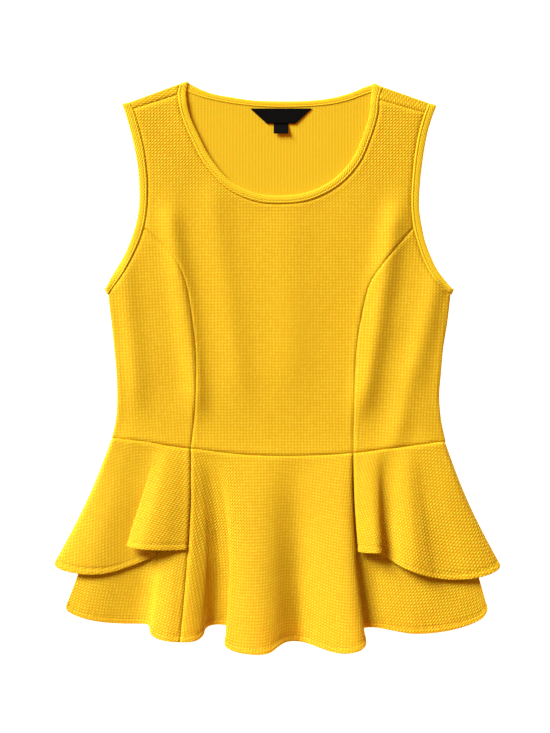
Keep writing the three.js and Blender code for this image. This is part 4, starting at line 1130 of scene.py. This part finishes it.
back = make_back()
centre, side_l, side_r = make_bodice()
BANDS = (
    # name, front rows, back rows, steps a row, whether the free edge comes first
    ("neck_band", NECK_FRONT, NECK_BACK, 9, False),
    ("arm_band_left", ARMHOLE_LEFT, ARMHOLE_LEFT, 5, True),
    ("arm_band_right", ARMHOLE_RIGHT, ARMHOLE_RIGHT, 5, False),
)
bands = [make_band(*band) for band in BANDS]
flounce_back = flat_tier("back_upper_tier", FLOUNCE_BACK_HEM, FLOUNCE_LEFT, FLOUNCE_RIGHT, 0.0)
peplum_back = flat_tier(
    "back_lower_tier", PEPLUM_BACK_HEM, PEPLUM_SIDE_LEFT, PEPLUM_SIDE_RIGHT, LAYER
)
FALLING = (
    # name, fold rows, top at the waist, seed, whether each side is sewn, rows of an outer side
    ("front_peplum", PEPLUM_FRONT, PEPLUM_FRONT_TOP, 11, (True, True)),
    ("left_peplum", PEPLUM_SIDE_LEFT, PEPLUM_SIDE_TOP, 12, (False, True)),
    ("right_peplum", PEPLUM_SIDE_RIGHT, PEPLUM_SIDE_TOP, 13, (True, False)),
    ("left_flounce", FLOUNCE_LEFT, FLOUNCE_TOP, 14, (False, True), (0, 1)),
    ("right_flounce", FLOUNCE_RIGHT, FLOUNCE_TOP, 15, (True, False), (-1, -2)),
)
falling, hems = zip(*(falling_panel(*panel) for panel in FALLING))
front, low_l, low_r, up_l, up_r = falling
label, tab = make_label()

PANELS = (
    (back, "back", "body_knit", knit_pair, ()),
    (centre, "front_centre", "body_knit", knit_pair, (back,)),
    (side_l, "front_side_left", "body_knit", knit_pair, (back,)),
    (side_r, "front_side_right", "body_knit", knit_pair, (back,)),
    (flounce_back, "flounce_back", "peplum_knit", turned_pair, ()),
    (peplum_back, "peplum_back", "peplum_knit", turned_pair, (flounce_back,)),
    (front, "peplum_front", "peplum_knit", knit_pair, (peplum_back, centre)),
    (low_l, "peplum_side_left", "peplum_knit", knit_pair, (peplum_back,)),
    (low_r, "peplum_side_right", "peplum_knit", knit_pair, (peplum_back,)),
    (up_l, "flounce_left", "peplum_knit", knit_pair, (low_l,)),
    (up_r, "flounce_right", "peplum_knit", knit_pair, (low_r,)),
    (label, "neck_label", "label_ribbon", label_pair, (back,)),
)
for piece, node, slot, finishes, rests in PANELS:
    size, area = cut_of(piece)
    dress(piece, node, finishes)
BAND_NODES = ("neck_binding", "armhole_binding_left", "armhole_binding_right")
for (piece, _, length), node in zip(bands, BAND_NODES):
    dress(piece, node, (band_knit, band_knit))
    size = (length, BAND_FLAT_WIDTH * MM)
dress(tab, None, label_pair)

STITCHED = (
    "front_hem", "left_hem", "right_hem", "left_flounce", "right_flounce", "neck", "left_arm",
    "right_arm",
)
for name, line in zip(STITCHED, (*hems, *(stitch for _, stitch, _ in bands))):
    dress(stitches(name + "_stitches", line), None, (yellow_thread_painted_shade,))

# Floor, light and camera

floor_mesh = bpy.data.meshes.new("floor")
corners = [(x * FLOOR_HALF, y * FLOOR_HALF, 0) for x, y in ((-1, -1), (1, -1), (1, 1), (-1, 1))]
floor_mesh.from_pydata(corners, [], [range(4)])
floor = add_object("floor", floor_mesh)
floor.location.z = -FLOOR_GAP
white = bpy.data.materials.new("floor_white")
white.use_nodes = True
set_inputs(white.node_tree.nodes["Principled BSDF"], {
    "Base Color": (FLOOR_GREY, FLOOR_GREY, FLOOR_GREY, 1), "Roughness": FLOOR_ROUGHNESS,
    "Emission Color": (1, 1, 1, 1), "Emission Strength": FLOOR_GLOW,
})
floor_mesh.materials.append(white)

world = bpy.data.worlds.new("studio")
world.use_nodes = True
background = world.node_tree.nodes["Background"]
set_inputs(background, {"Color": (*STUDIO_TINT, 1), "Strength": STUDIO_FILL})
bpy.context.scene.world = world

lamp = bpy.data.lights.new("key", "SUN")
lamp.energy, lamp.angle = KEY_STRENGTH, math.radians(KEY_ANGLE)
sun = add_object("key", lamp)
sun.rotation_mode = "QUATERNION"
sun.rotation_quaternion = Vector(KEY_TOWARDS).to_track_quat("-Z", "Y")

camera_data = bpy.data.cameras.new("camera")
camera_data.lens = CAMERA_LENS
camera_data.sensor_width = CAMERA_SENSOR
camera = add_object("camera", camera_data)
distance = FRAME_HEIGHT * CAMERA_LENS / CAMERA_SENSOR
camera.location = (*VIEW_CENTRE, distance)
camera_data.clip_end = distance * FAR_CLIP
bpy.context.scene.camera = camera
bpy.context.scene.view_settings.view_transform = "Standard"
